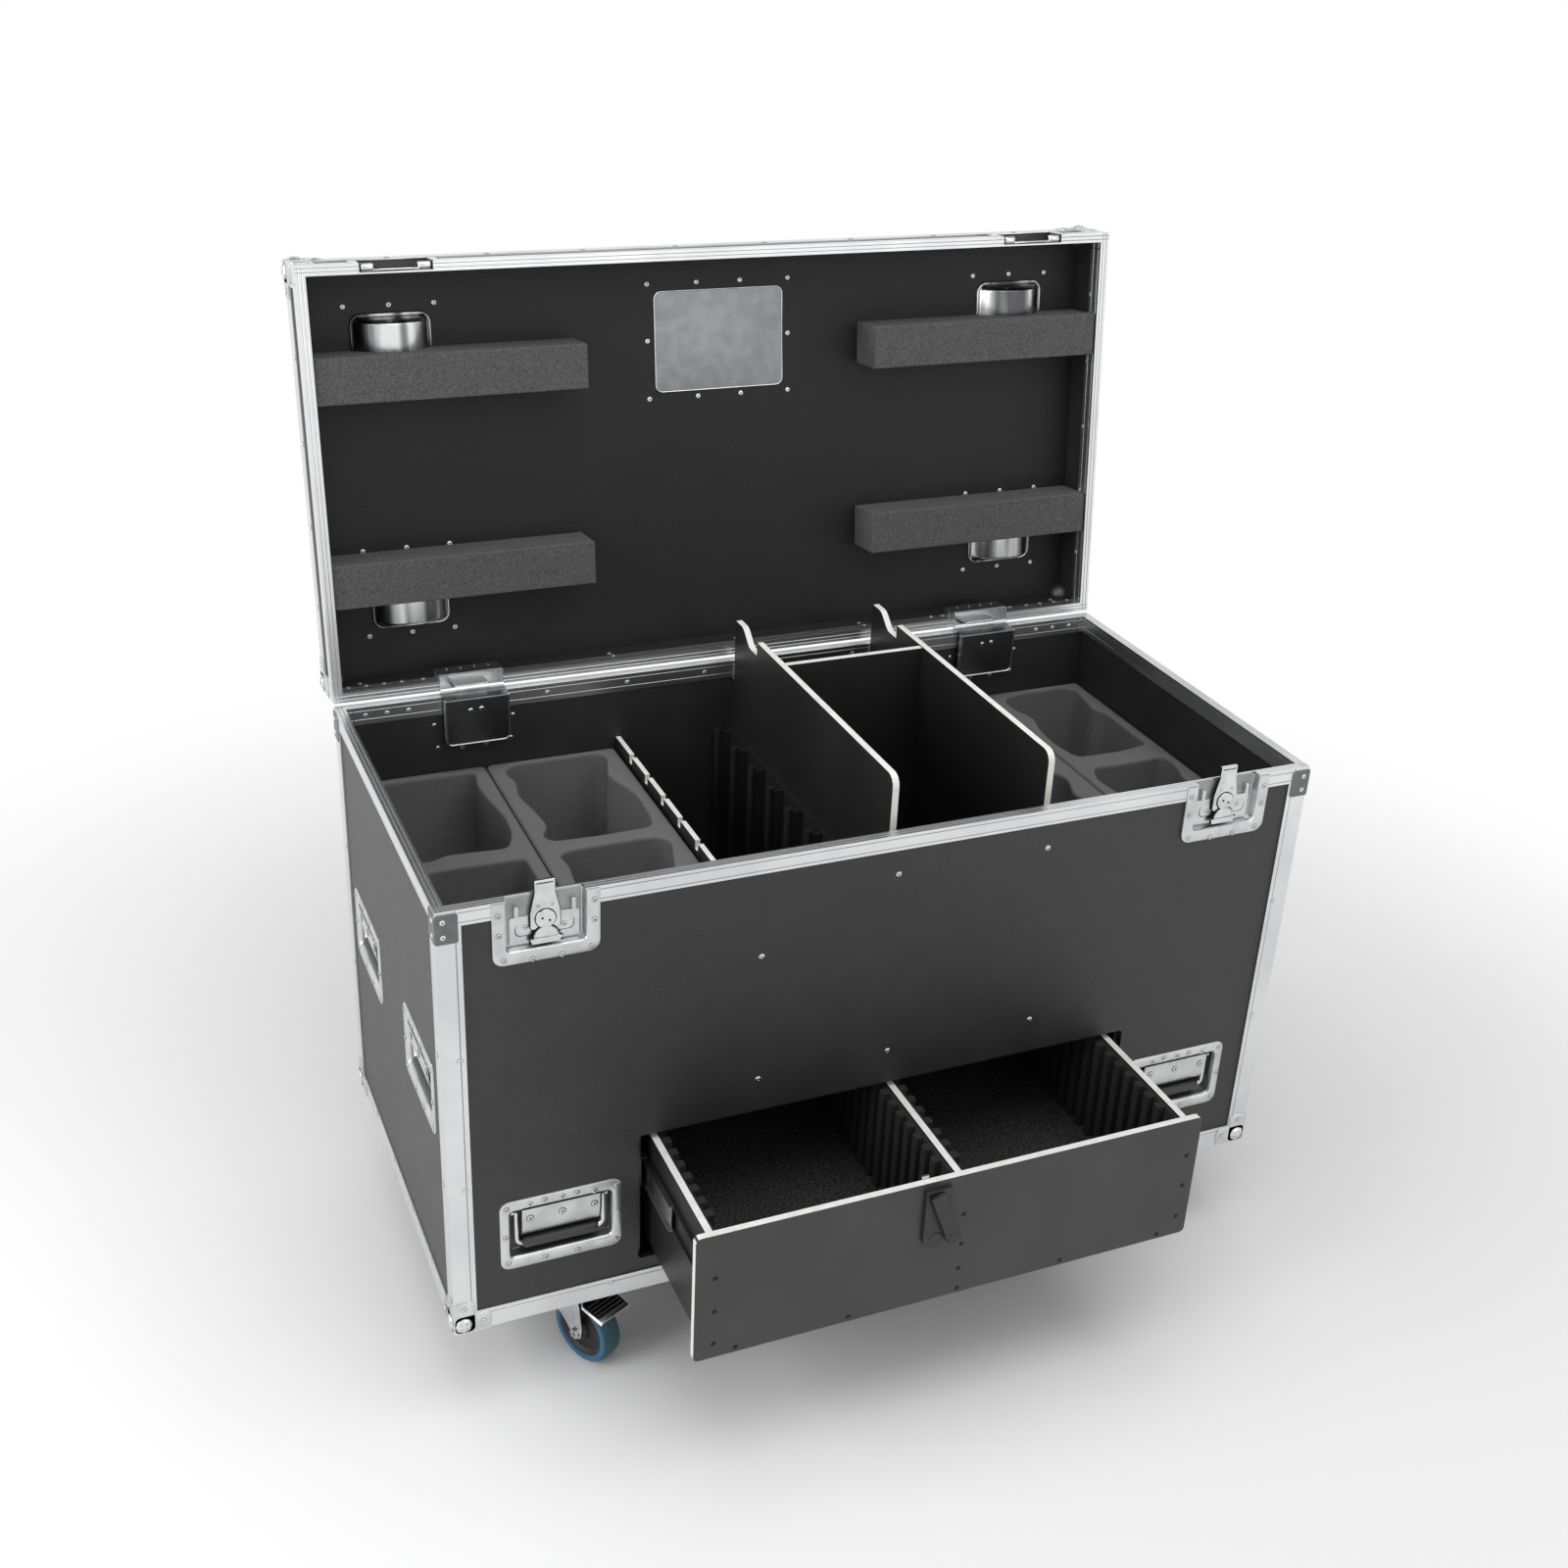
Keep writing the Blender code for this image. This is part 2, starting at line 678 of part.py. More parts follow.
def make_base(board):
    """The base, rebated over the bottom angles, with the castor boards and plates under it."""
    inside_x = HALF_X - INSIDE
    inside_y = HALF_Y - INSIDE
    field_x = HALF_X - EDGE_LEG - FIT
    field_y = HALF_Y - EDGE_LEG - FIT
    steps = [(ADD, block((-field_x, -field_y, 0), (field_x, field_y, BASE_BOARD / 2)))]
    for side_x, side_y in CASTORS.values():
        middle = (side_x * CASTOR_X, side_y * CASTOR_Y)
        pad = rounded(middle, CASTOR_BOARD_WIDTH, CASTOR_BOARD_LENGTH, METAL, steps=1)
        steps.append((ADD, prism(pad, "Z", CASTOR_TOP, BASE_BOARD / 2)))
        plate = rounded(middle, CASTOR_PLATE_WIDTH, CASTOR_PLATE_LENGTH, 4 * METAL)
        steps.append((ADD, prism(plate, "Z", CASTOR_TOP - CASTOR_PLATE, CASTOR_TOP / 2)))
        over_angle = block(
            (middle[0] - CASTOR_BOARD_WIDTH, side_y * field_y, -FIT),
            (middle[0] + CASTOR_BOARD_WIDTH, side_y * HALF_Y, PANEL_FACE),
        )
        steps.append((CUT, over_angle))
    blank = block((-inside_x, -inside_y, PANEL_FACE), (inside_x, inside_y, BASE_BOARD))
    piece("base_panel", shaped(blank, *steps), board)


def runner_channel(web_x, side, reach, half_height, start, end):
    """A C-shaped runner member whose lips reach from its web toward one side."""
    lip = web_x + side * reach
    inner = web_x + side * RUNNER_METAL
    low = RUNNER_MIDDLE_Z - half_height
    high = RUNNER_MIDDLE_Z + half_height
    outline = (
        (web_x, low),
        (lip, low),
        (lip, low + RUNNER_METAL),
        (inner, low + RUNNER_METAL),
        (inner, high - RUNNER_METAL),
        (lip, high - RUNNER_METAL),
        (lip, high),
        (web_x, high),
    )
    return prism(outline, "Y", start, end)


def make_drawer_bay(board):
    """The deck over the drawer, the two bay walls and the fixed runner members on them."""
    inside_x = HALF_X - INSIDE
    inside_y = HALF_Y - INSIDE
    steps = []
    wall_x = BOX_WIDTH / 2 + RUNNER_SPACE
    runner_start = FRONT_FACE + BOARD + FIT
    for side in (-1, 1):
        face = DRAWER_X + side * wall_x
        wall = block(
            (face, -inside_y, BASE_BOARD + FIT), (face + side * BOARD, inside_y, DECK_BOTTOM + BOARD / 2)
        )
        steps.append((ADD, wall))
        member = runner_channel(
            face + side * METAL,
            -side,
            METAL + RUNNER_SPACE * 0.72,
            RUNNER_HEIGHT / 2,
            runner_start,
            runner_start + RUNNER_LENGTH,
        )
        solid = block(
            (face + side * METAL, runner_start, RUNNER_MIDDLE_Z - RUNNER_HEIGHT / 2),
            (face - side * RUNNER_METAL, runner_start + RUNNER_LENGTH, RUNNER_MIDDLE_Z + RUNNER_HEIGHT / 2),
        )
        steps.append((ADD, solid))
        steps.append((ADD, member))
    deck = block((-inside_x, -inside_y, DECK_BOTTOM), (inside_x, inside_y, DECK_TOP))
    piece("drawer_bay", shaped(deck, *steps), board)


def make_runner_middles(steel, travel):
    """The middle runner members, which slide out half as far as the drawer."""
    wall_x = BOX_WIDTH / 2 + RUNNER_SPACE
    half = RUNNER_HEIGHT / 2 - RUNNER_METAL - RUNNER_PLAY
    start = FRONT_FACE + BOARD + FIT
    end = start + RUNNER_LENGTH
    for word, side in (("left", -1), ("right", 1)):
        face = DRAWER_X + side * wall_x
        near = face - side * RUNNER_SPACE * 0.20
        far = face - side * RUNNER_SPACE * 0.78
        middle = (near + far) / 2
        low = RUNNER_MIDDLE_Z - half
        high = RUNNER_MIDDLE_Z + half
        inner_low = low + RUNNER_METAL
        inner_high = high - RUNNER_METAL
        web = side * RUNNER_METAL / 2
        outline = (
            (near, low),
            (far, low),
            (far, inner_low),
            (middle - web, inner_low),
            (middle - web, inner_high),
            (far, inner_high),
            (far, high),
            (near, high),
            (near, inner_high),
            (middle + web, inner_high),
            (middle + web, inner_low),
            (near, inner_low),
        )
        mesh = prism(outline, "Y", start, end)
        piece(f"runner_middle_{word}", mesh, steel, location=(0, -travel / 2, 0))


def make_drawer(surfaces):
    """The drawer box, its front, its lined compartments and its latch."""
    drawer = holder("drawer_holder", (0, -DRAWER_SHOWN_OUT, 0))
    half = BOX_WIDTH / 2
    back_of_front = FRONT_FACE + BOARD
    start = back_of_front + FIT
    end = start + BOX_LENGTH
    floor = BOX_BOTTOM + BOX_FLOOR_ABOVE + BOX_FLOOR
    blank = block((DRAWER_X - half, start, BOX_BOTTOM), (DRAWER_X + half, end, BOX_TOP))
    steps = []
    inner = half - BOARD
    for side in (-1, 1):
        near = DRAWER_X + side * BOARD / 2
        far = DRAWER_X + side * inner
        steps.append((CUT, block((near, start - BOARD, floor), (far, end - BOARD, BOX_TOP + BOARD))))
    under = block(
        (DRAWER_X - inner, start - BOARD, BOX_BOTTOM - BOARD),
        (DRAWER_X + inner, end - BOARD, BOX_BOTTOM + BOX_FLOOR_ABOVE),
    )
    steps.append((CUT, under))
    runner_half = RUNNER_HEIGHT / 2 - 2 * (RUNNER_METAL + RUNNER_PLAY)
    for side in (-1, 1):
        web = DRAWER_X + side * (half - METAL)
        reach = METAL + RUNNER_SPACE * 0.42
        steps.append((ADD, runner_channel(web, side, reach, runner_half, start, start + RUNNER_LENGTH)))
        low = RUNNER_MIDDLE_Z - runner_half
        high = RUNNER_MIDDLE_Z + runner_half
        far = DRAWER_X + side * (half + RUNNER_METAL)
        steps.append((ADD, block((web, start, low), (far, start + RUNNER_LENGTH, high))))
    piece("drawer_box", shaped(blank, *steps), surfaces["board"], parent=drawer)
    make_drawer_front(surfaces["board"], drawer)
    for word, side in (("left", -1), ("right", 1)):
        make_drawer_liner(word, side, start, end, floor, surfaces["foam"], drawer)
    make_drawer_latch(surfaces["black"], surfaces["steel"], drawer)


def make_drawer_front(board, drawer):
    """The drawer front, with the latch housing on its face and the bolt's keeper behind it."""
    width = OPENING_WIDTH - 2 * FRONT_MARGIN
    height = FRONT_TOP - FRONT_BOTTOM
    outline = rounded((DRAWER_X, (FRONT_TOP + FRONT_BOTTOM) / 2), width, height, FRONT_CORNER)
    blank = prism(outline, "Y", FRONT_FACE, FRONT_FACE + BOARD)
    tall = CATCH_HOUSING_TOP - CATCH_HOUSING_BOTTOM
    middle = (CATCH_X, (CATCH_HOUSING_TOP + CATCH_HOUSING_BOTTOM) / 2)
    housing = prism(
        rounded(middle, CATCH_HOUSING_WIDTH, tall, CATCH_HOUSING_WIDTH / 2.2, corners="ab"),
        "Y",
        FRONT_FACE - CATCH_HOUSING_PROUD,
        FRONT_FACE + BOARD / 2,
    )
    pin = round_bar(
        (CATCH_X, LEVER_PIVOT_Z),
        BOSS_RADIUS,
        "Y",
        FRONT_FACE - CATCH_HOUSING_PROUD - LEVER_THICKNESS * 0.7,
        FRONT_FACE,
        segments=12,
    )
    back = FRONT_FACE + BOARD
    slot_half = BOLT_WIDTH / 2 + FIT
    keeper_low = BOLT_BOTTOM + BOLT_WIDTH
    keeper = block(
        (BOLT_X - slot_half - METAL, back - METAL, keeper_low),
        (BOLT_X + slot_half + METAL, back + 2 * FIT + BOLT_THICKNESS + METAL, keeper_low + 2 * BOLT_WIDTH),
    )
    slot = block(
        (BOLT_X - slot_half, back, keeper_low - METAL),
        (BOLT_X + slot_half, back + 2 * FIT + BOLT_THICKNESS, keeper_low + 3 * BOLT_WIDTH),
    )
    mesh = shaped(blank, (ADD, housing), (ADD, pin), (ADD, keeper), (CUT, slot))
    piece("drawer_front", mesh, board, parent=drawer)


def comb_outline(wall_x, side, start, end):
    """A toothed foam strip against a wall, seen from above, its teeth toward one side."""
    backing = wall_x + side * COMB_BACKING
    tip = backing + side * (COMB_PROUD - COMB_BACKING)
    outline = [(wall_x, end), (wall_x, start), (backing, start)]
    count = int((end - start - 2 * COMB_PLAIN_END) / COMB_PITCH)
    for tooth in range(count):
        near = start + COMB_PLAIN_END + tooth * COMB_PITCH
        far = near + COMB_TOOTH
        outline += [(backing, near), (tip, near), (tip, far), (backing, far)]
    outline.append((backing, end))
    return outline


def make_drawer_liner(word, side, start, end, floor, foam, drawer):
    """The carpet and the two combs of one compartment."""
    near = DRAWER_X + side * (BOARD / 2 + FIT)
    far = DRAWER_X + side * (BOX_WIDTH / 2 - BOARD - FIT)
    low = floor + FIT
    first = start + LINER_END_GAP
    last = end - BOARD - FIT
    top = BOX_TOP - COMB_TOP_BELOW
    carpet = block((near, first, low), (far, last, low + CARPET))
    combs = []
    for wall, inward in ((near, side), (far, -side)):
        combs.append((ADD, prism(comb_outline(wall, inward, first, last), "Z", low + CARPET / 2, top)))
    mesh = shaped(carpet, *combs)
    piece(f"drawer_liner_{word}", mesh, foam, parent=drawer)


def make_drawer_latch(black, steel, drawer):
    """The swinging lever on the front and the bolt that it lifts behind the front."""
    pivot = (CATCH_X, FRONT_FACE - CATCH_HOUSING_PROUD, LEVER_PIVOT_Z)
    half = LEVER_WIDTH / 2
    reach = LEVER_LENGTH
    outline = softened(((-half, half), (half, half), (half, -reach), (-half, -reach)), half / 2, steps=2)
    bar = prism(outline, "Y", -LEVER_THICKNESS, -FIT)
    bore = round_bar((0, 0), BOSS_RADIUS + FIT, "Y", -2 * LEVER_THICKNESS, LEVER_THICKNESS, segments=12)
    mesh = shaped(bar, (CUT, bore))
    piece("drawer_latch_lever", mesh, black, location=pivot, rotation=(0, -LEVER_SWUNG, 0), parent=drawer)
    back = FRONT_FACE + BOARD + FIT
    bolt = block(
        (BOLT_X - BOLT_WIDTH / 2, back, BOLT_BOTTOM),
        (BOLT_X + BOLT_WIDTH / 2, back + BOLT_THICKNESS, BOLT_TOP),
    )
    piece("drawer_latch_bolt", bolt, steel, parent=drawer)


def partition_outline():
    """The side of the bin: a straight top, a rounded front corner and a horn at the back."""
    bottom = DECK_TOP + FIT
    front = -HALF_Y + INSIDE + FIT
    back = HALF_Y - INSIDE - FIT
    shoulder = BODY_HEIGHT - RIM_INNER_LEG - METAL
    front_high = -HALF_Y + BIN_FRONT_SET_BACK
    back_high = HALF_Y - BIN_BACK_SET_BACK
    step_y = back_high - HORN_LENGTH
    dip = BIN_TOP - HORN_DIP
    corner = BIN_FRONT_CORNER
    outline = [(front, bottom), (front, shoulder), (front_high, shoulder)]
    for step in range(5):
        angle = math.pi - step * math.pi / 8
        outline.append(
            (
                front_high + corner + corner * math.cos(angle),
                BIN_TOP - corner + corner * math.sin(angle),
            )
        )
    outline += [(step_y, BIN_TOP), (step_y, dip)]
    rise = HORN_LENGTH * 0.45
    horn_foot = back_high - HORN_LENGTH * 0.28 - rise
    for step in range(7):
        share = step / 6
        lift = (1 - math.cos(math.pi * share)) / 2
        outline.append((horn_foot + rise * share, dip + lift * (HORN_DIP + METAL)))
    outline.append((back_high - METAL, BIN_TOP + METAL))
    outline.append((back_high, BIN_TOP))
    outline += [(back_high, shoulder), (back, shoulder), (back, bottom)]
    return outline


def make_interior(board, foam):
    """The bin, the slotted panel, the finger rail and the foam inserts."""
    outline = partition_outline()
    left = prism(outline, "X", BIN_LEFT_X, BIN_LEFT_X + BOARD)
    right = prism(outline, "X", BIN_RIGHT_X, BIN_RIGHT_X + BOARD)
    cross = block(
        (BIN_LEFT_X + BOARD / 2, BIN_CROSS_Y, DECK_TOP + FIT),
        (BIN_RIGHT_X + BOARD / 2, BIN_CROSS_Y + BOARD, BIN_TOP - BIN_CROSS_BELOW_TOP),
    )
    piece("centre_bin", shaped(cross, (ADD, left), (ADD, right)), board)

    front = -HALF_Y + INSIDE + FIT
    back = HALF_Y - INSIDE - FIT
    bottom = DECK_TOP + FIT
    panel = block(
        (SLOT_PANEL_X, front, bottom), (SLOT_PANEL_X + SLOT_PANEL_BOARD, back, SLOT_PANEL_TOP)
    )
    slots = []
    for number in range(1, FINGER_COUNT):
        middle = back - number * BAY_PITCH
        slot = (
            (middle - SLOT_WIDTH, SLOT_PANEL_TOP + SLOT_DEPTH),
            (middle - SLOT_WIDTH / 2, SLOT_PANEL_TOP - SLOT_DEPTH),
            (middle + SLOT_WIDTH / 2, SLOT_PANEL_TOP - SLOT_DEPTH),
            (middle + SLOT_WIDTH / 2, SLOT_PANEL_TOP + SLOT_DEPTH),
        )
        slots.append(prism(slot, "X", SLOT_PANEL_X - BOARD, SLOT_PANEL_X + 2 * BOARD))
    piece("slot_panel", shaped(panel, (CUT, together(*slots))), board)

    rail_x = BIN_LEFT_X - FIT
    carrier = block((rail_x - RAIL_BOARD, front, bottom), (rail_x, back, RAIL_TOP))
    steps = []
    tip = BIN_LEFT_X - FINGER_REACH + FINGER_POST_RADIUS
    for number in range(FINGER_COUNT):
        middle = back - FIRST_FINGER - number * BAY_PITCH
        fin = block(
            (tip, middle - FINGER_THICKNESS / 2, bottom),
            (rail_x - RAIL_BOARD / 2, middle + FINGER_THICKNESS / 2, RAIL_TOP - METAL),
        )
        steps.append((ADD, fin))
        post = round_bar(
            (tip, middle), FINGER_POST_RADIUS, "Z", bottom, RAIL_TOP + FINGER_POST_ABOVE, segments=10
        )
        steps.append((ADD, post))
    piece("finger_rail", shaped(carrier, *steps), board)
    make_inserts(foam)


def pocket_outline(low_x, high_x, low_y, mirrored):
    """A device-shaped cut-out: wide ends, a waist on one side and a bulge on the other."""
    width = high_x - low_x
    shares = (
        (0.05, 0.00),
        (1.00, 0.00),
        (0.98, 0.10),
        (1.00, 0.40),
        (0.87, 0.70),
        (0.98, 0.96),
        (0.90, 1.00),
        (0.14, 1.00),
        (0.06, 0.88),
        (0.00, 0.60),
        (0.09, 0.20),
    )
    points = []
    for across, along in shares:
        share = 1 - across if mirrored else across
        points.append((low_x + share * width, low_y + along * POCKET_LENGTH))
    return softened(points, POCKET_ROUND, steps=2)


def make_inserts(foam):
    """Four foam blocks with two device cut-outs each; the outer ones clear the handle dishes."""
    front = -HALF_Y + INSIDE + FIT
    back = HALF_Y - INSIDE - FIT
    bottom = DECK_TOP + FIT
    relief_top = HANDLE_SIDE_Z + HANDLE_PAN_HEIGHT / 2 + DISH_RELIEF
    edges = INSERT_LEFT_EDGES + INSERT_RIGHT_EDGES
    for number in range(4):
        low_x = edges[2 * number]
        high_x = edges[2 * number + 1]
        steps = []
        for along in range(2):
            pocket_y = back - POCKET_BACK_MARGIN - (along + 1) * POCKET_LENGTH - along * POCKET_WEB
            outline = pocket_outline(low_x + POCKET_MARGIN, high_x - POCKET_MARGIN, pocket_y, number > 1)
            steps.append((CUT, prism(outline, "Z", INSERT_TOP - POCKET_DEPTH, INSERT_TOP + BOARD)))
        if number == 0:
            wall = low_x
        elif number == 3:
            wall = high_x
        else:
            wall = None
        if wall is not None:
            outward = math.copysign(BOARD, wall)
            inward = -math.copysign(DISH_RELIEF, wall)
            relief = block(
                (wall + outward, front - BOARD, bottom - BOARD), (wall + inward, back + BOARD, relief_top)
            )
            steps.append((CUT, relief))
        blank = block((low_x, front, bottom), (high_x, back, INSERT_TOP))
        piece(f"foam_insert_{number + 1}", shaped(blank, *steps), foam)


def make_latches(steel):
    """The recessed front latches: dish, turn with its wing, and the hook that it draws down."""
    face = -HALF_Y
    floor = face + LATCH_TUB_DEPTH
    bottom = BODY_HEIGHT - LATCH_TUB_DROP
    flange_bottom = BODY_HEIGHT - LATCH_FLANGE_DROP
    flange_middle = (0, (flange_bottom + BODY_HEIGHT - METAL) / 2)
    flange_height = BODY_HEIGHT - METAL - flange_bottom
    outline = rounded(flange_middle, LATCH_FLANGE_WIDTH, flange_height, 0.014, corners="ab")
    flange = prism(outline, "Y", face - FIT - SHEET, face - FIT)
    under_top = BODY_HEIGHT - RIM_OUTER_LEG - FIT
    packing = prism(
        rounded(
            (0, (flange_bottom + under_top) / 2),
            LATCH_FLANGE_WIDTH,
            under_top - flange_bottom,
            0.014,
            corners="ab",
        ),
        "Y",
        face - FIT - SHEET / 2,
        face + METAL,
    )
    half = LATCH_TUB_WIDTH / 2
    tub = block((-half, face - FIT - SHEET / 2, bottom), (half, floor, BODY_HEIGHT - METAL))
    hollow = block(
        (-half + SHEET, face - EDGE_LEG, bottom + SHEET), (half - SHEET, floor - SHEET, BODY_HEIGHT + BOARD)
    )
    plate_half = LATCH_TUB_WIDTH * 0.32
    plate = block(
        (-plate_half, floor - 2 * SHEET, bottom + 2 * SHEET), (plate_half, floor, BOSS_Z + DRUM_RADIUS / 2)
    )
    boss = round_bar((0, BOSS_Z), BOSS_RADIUS, "Y", face + FIT, floor - SHEET / 2, segments=12)
    dish = shaped(flange, (ADD, packing), (ADD, tub), (CUT, hollow), (ADD, plate), (ADD, boss))

    drum_front = face + DRUM_SET_BACK
    drum_back = drum_front + DRUM_THICKNESS
    drum = round_bar((0, BOSS_Z), DRUM_RADIUS, "Y", drum_front, drum_back, segments=20)
    spread = math.asin(WING_WIDTH / 2 / WING_FAR)
    wing_outline = [(DRUM_RADIUS / 2, BOSS_Z), (WING_WIDTH / 2, BOSS_Z - WING_NEAR)]
    for step in range(7):
        angle = spread * (1 - step / 3)
        wing_outline.append((WING_FAR * math.sin(angle), BOSS_Z - WING_FAR * math.cos(angle)))
    wing_outline += [(-WING_WIDTH / 2, BOSS_Z - WING_NEAR), (-DRUM_RADIUS / 2, BOSS_Z)]
    wing = prism(wing_outline, "Y", drum_front + FIT, drum_back - FIT)
    bore = round_bar((0, BOSS_Z), BOSS_RADIUS + FIT, "Y", face - BOARD, floor, segments=12)
    pivot = (0, drum_back, BOSS_Z)
    turn = about(shaped(drum, (ADD, wing), (CUT, bore)), pivot)

    hook_front = drum_back + FIT
    hook_back = hook_front + HOOK_THICKNESS
    hook_top = BODY_HEIGHT + HOOK_RISE
    shoulder = BOSS_Z + DRUM_RADIUS * 0.7
    hook_outline = (
        (-HOOK_WIDTH / 2 + METAL, BOSS_Z - HOOK_TAIL),
        (HOOK_WIDTH / 2 - METAL, BOSS_Z - HOOK_TAIL),
        (HOOK_WIDTH / 2, shoulder),
        (HOOK_TIP_WIDTH / 2, BODY_HEIGHT + METAL),
        (HOOK_TIP_WIDTH / 2, hook_top),
        (-HOOK_TIP_WIDTH / 2, hook_top),
        (-HOOK_TIP_WIDTH / 2, BODY_HEIGHT + METAL),
        (-HOOK_WIDTH / 2, shoulder),
    )
    hook_plate = prism(hook_outline, "Y", hook_front, hook_back)
    nose = block(
        (-HOOK_TIP_WIDTH / 2, hook_front, hook_top - HOOK_THICKNESS),
        (HOOK_TIP_WIDTH / 2, hook_back + HOOK_NOSE, hook_top),
    )
    slot_half = BOSS_RADIUS + FIT
    slot_bottom = BOSS_Z - slot_half - FIT
    slot_top = BOSS_Z + slot_half + HOOK_DROP + FIT
    slot = block((-slot_half, face - BOARD, slot_bottom), (slot_half, floor, slot_top))
    hook = shaped(hook_plate, (ADD, nose), (CUT, slot))
    for word, side in (("left", -1), ("right", 1)):
        place = (side * LATCH_X, 0, 0)
        piece(f"latch_dish_{word}", dish.copy(), steel, location=place)
        turn_place = Vector(place) + Vector(pivot)
        piece(f"latch_turn_{word}", turn.copy(), steel, location=turn_place)
        piece(f"latch_hook_{word}", hook.copy(), steel, location=place)


def make_handles(steel, black):
    """Six spring handles: a pressed dish and the bail that swings out of it."""
    half_depth = HANDLE_PAN_DEPTH
    flange = prism(rounded((0, 0), HANDLE_WIDTH, HANDLE_HEIGHT, HANDLE_CORNER), "Y", -FIT - SHEET, -FIT)
    pan_outer = prism(
        rounded(
            (0, 0), HANDLE_PAN_WIDTH + 2 * SHEET, HANDLE_PAN_HEIGHT + 2 * SHEET, HANDLE_CORNER * 0.6, steps=2
        ),
        "Y",
        -FIT - SHEET / 2,
        half_depth + SHEET,
    )
    pan_inner = prism(
        rounded((0, 0), HANDLE_PAN_WIDTH, HANDLE_PAN_HEIGHT, HANDLE_CORNER * 0.5, steps=2),
        "Y",
        -BOARD,
        half_depth,
    )
    leg_inner = BAIL_LEG_X - BAIL_LEG_WIDTH / 2
    cover_half = leg_inner - 3 * METAL / 4
    cover_top = HANDLE_PAN_HEIGHT / 2 + SHEET / 2
    cover_low = cover_top - PAN_COVER_HEIGHT
    cover_outline = (
        (-SHEET / 2, cover_top),
        (-SHEET / 2, cover_low + 8 * METAL),
        (SHEET, cover_low + 4 * METAL),
        (3 * SHEET, cover_low + METAL),
        (3 * SHEET + METAL / 2, cover_low + 2 * METAL),
        (2 * SHEET, cover_low + 5 * METAL),
        (SHEET / 2, cover_low + 9 * METAL),
        (SHEET / 2, cover_top),
    )
    cover = prism(cover_outline, "X", -cover_half, cover_half)
    dish = shaped(flange, (ADD, pan_outer), (CUT, pan_inner), (ADD, cover))

    pivot = (0, BAIL_PIVOT_IN, BAIL_PIVOT_ABOVE)
    rod = round_bar(
        (BAIL_PIVOT_IN, BAIL_PIVOT_ABOVE),
        BAIL_LEG_THICKNESS / 2 - FIT,
        "X",
        -HANDLE_PAN_WIDTH / 2 + FIT,
        HANDLE_PAN_WIDTH / 2 - FIT,
        segments=10,
    )
    leg_top = BAIL_PIVOT_ABOVE + BAIL_LEG_THICKNESS
    leg_bottom = -BAIL_GRIP_BELOW - BAIL_GRIP_RADIUS
    legs = []
    for side in (-1, 1):
        near = side * leg_inner
        far = side * (leg_inner + BAIL_LEG_WIDTH)
        front = BAIL_PIVOT_IN - BAIL_LEG_THICKNESS / 2
        legs.append(block((near, front, leg_bottom), (far, front + BAIL_LEG_THICKNESS, leg_top)))
    grip = round_bar(
        (BAIL_GRIP_RADIUS, -BAIL_GRIP_BELOW),
        BAIL_GRIP_RADIUS,
        "X",
        -leg_inner - BAIL_LEG_WIDTH / 2,
        leg_inner + BAIL_LEG_WIDTH / 2,
        segments=14,
    )
    bail = about(shaped(rod, (ADD, legs[0]), (ADD, legs[1]), (ADD, grip)), pivot)
    for name, location, turn in handle_places():
        piece(f"handle_dish_{name}", dish.copy(), steel, location=location, rotation=(0, 0, turn))
        hang = Vector(location) + Matrix.Rotation(turn, 3, "Z") @ Vector(pivot)
        piece(f"handle_bail_{name}", bail.copy(), black, location=hang, rotation=(0, 0, turn))


def make_hinge_dishes(steel):
    """The body halves of the lid hinges: a dish through the back wall and two knuckles."""
    face = HALF_Y
    inner = face - HINGE_TUB_INWARD
    bottom = BODY_HEIGHT - HINGE_TUB_DROP
    top = BODY_HEIGHT - FIT
    half = HINGE_TUB_WIDTH / 2
    flange_top = BODY_HEIGHT - 2 * METAL
    flange_bottom = BODY_HEIGHT - HINGE_FLANGE_DROP
    flange = prism(
        rounded(
            (0, (flange_top + flange_bottom) / 2),
            HINGE_FLANGE_WIDTH,
            flange_top - flange_bottom,
            0.010,
            corners="ab",
        ),
        "Y",
        face + FIT,
        face + FIT + SHEET,
    )
    under_top = BODY_HEIGHT - RIM_OUTER_LEG - FIT
    packing = prism(
        rounded(
            (0, (under_top + flange_bottom) / 2),
            HINGE_FLANGE_WIDTH,
            under_top - flange_bottom,
            0.010,
            corners="ab",
        ),
        "Y",
        face - METAL,
        face + FIT + SHEET / 2,
    )
    tub_outline = rounded((0, (top + bottom) / 2), HINGE_TUB_WIDTH, top - bottom, 0.008, corners="ab")
    tub = prism(tub_outline, "Y", inner, face + FIT + SHEET / 2)
    hollow_outline = rounded(
        (0, (top + BOARD + bottom + SHEET) / 2),
        HINGE_TUB_WIDTH - 2 * SHEET,
        top + BOARD - bottom - SHEET,
        0.007,
        corners="ab",
    )
    hollow = prism(hollow_outline, "Y", inner + SHEET, face + EDGE_LEG)
    steps = [(ADD, packing), (ADD, tub), (CUT, hollow)]
    for side in (-1, 1):
        near = side * (KNUCKLE_HALF + FIT)
        far = side * (half - SHEET / 2)
        steps.append((ADD, round_bar((HINGE_Y, HINGE_Z), KNUCKLE_RADIUS, "X", near, far, segments=12)))
    dish = shaped(flange, *steps)
    for word, side in (("left", -1), ("right", 1)):
        piece(f"hinge_dish_{word}", dish.copy(), steel, location=(side * HINGE_X, 0, 0))


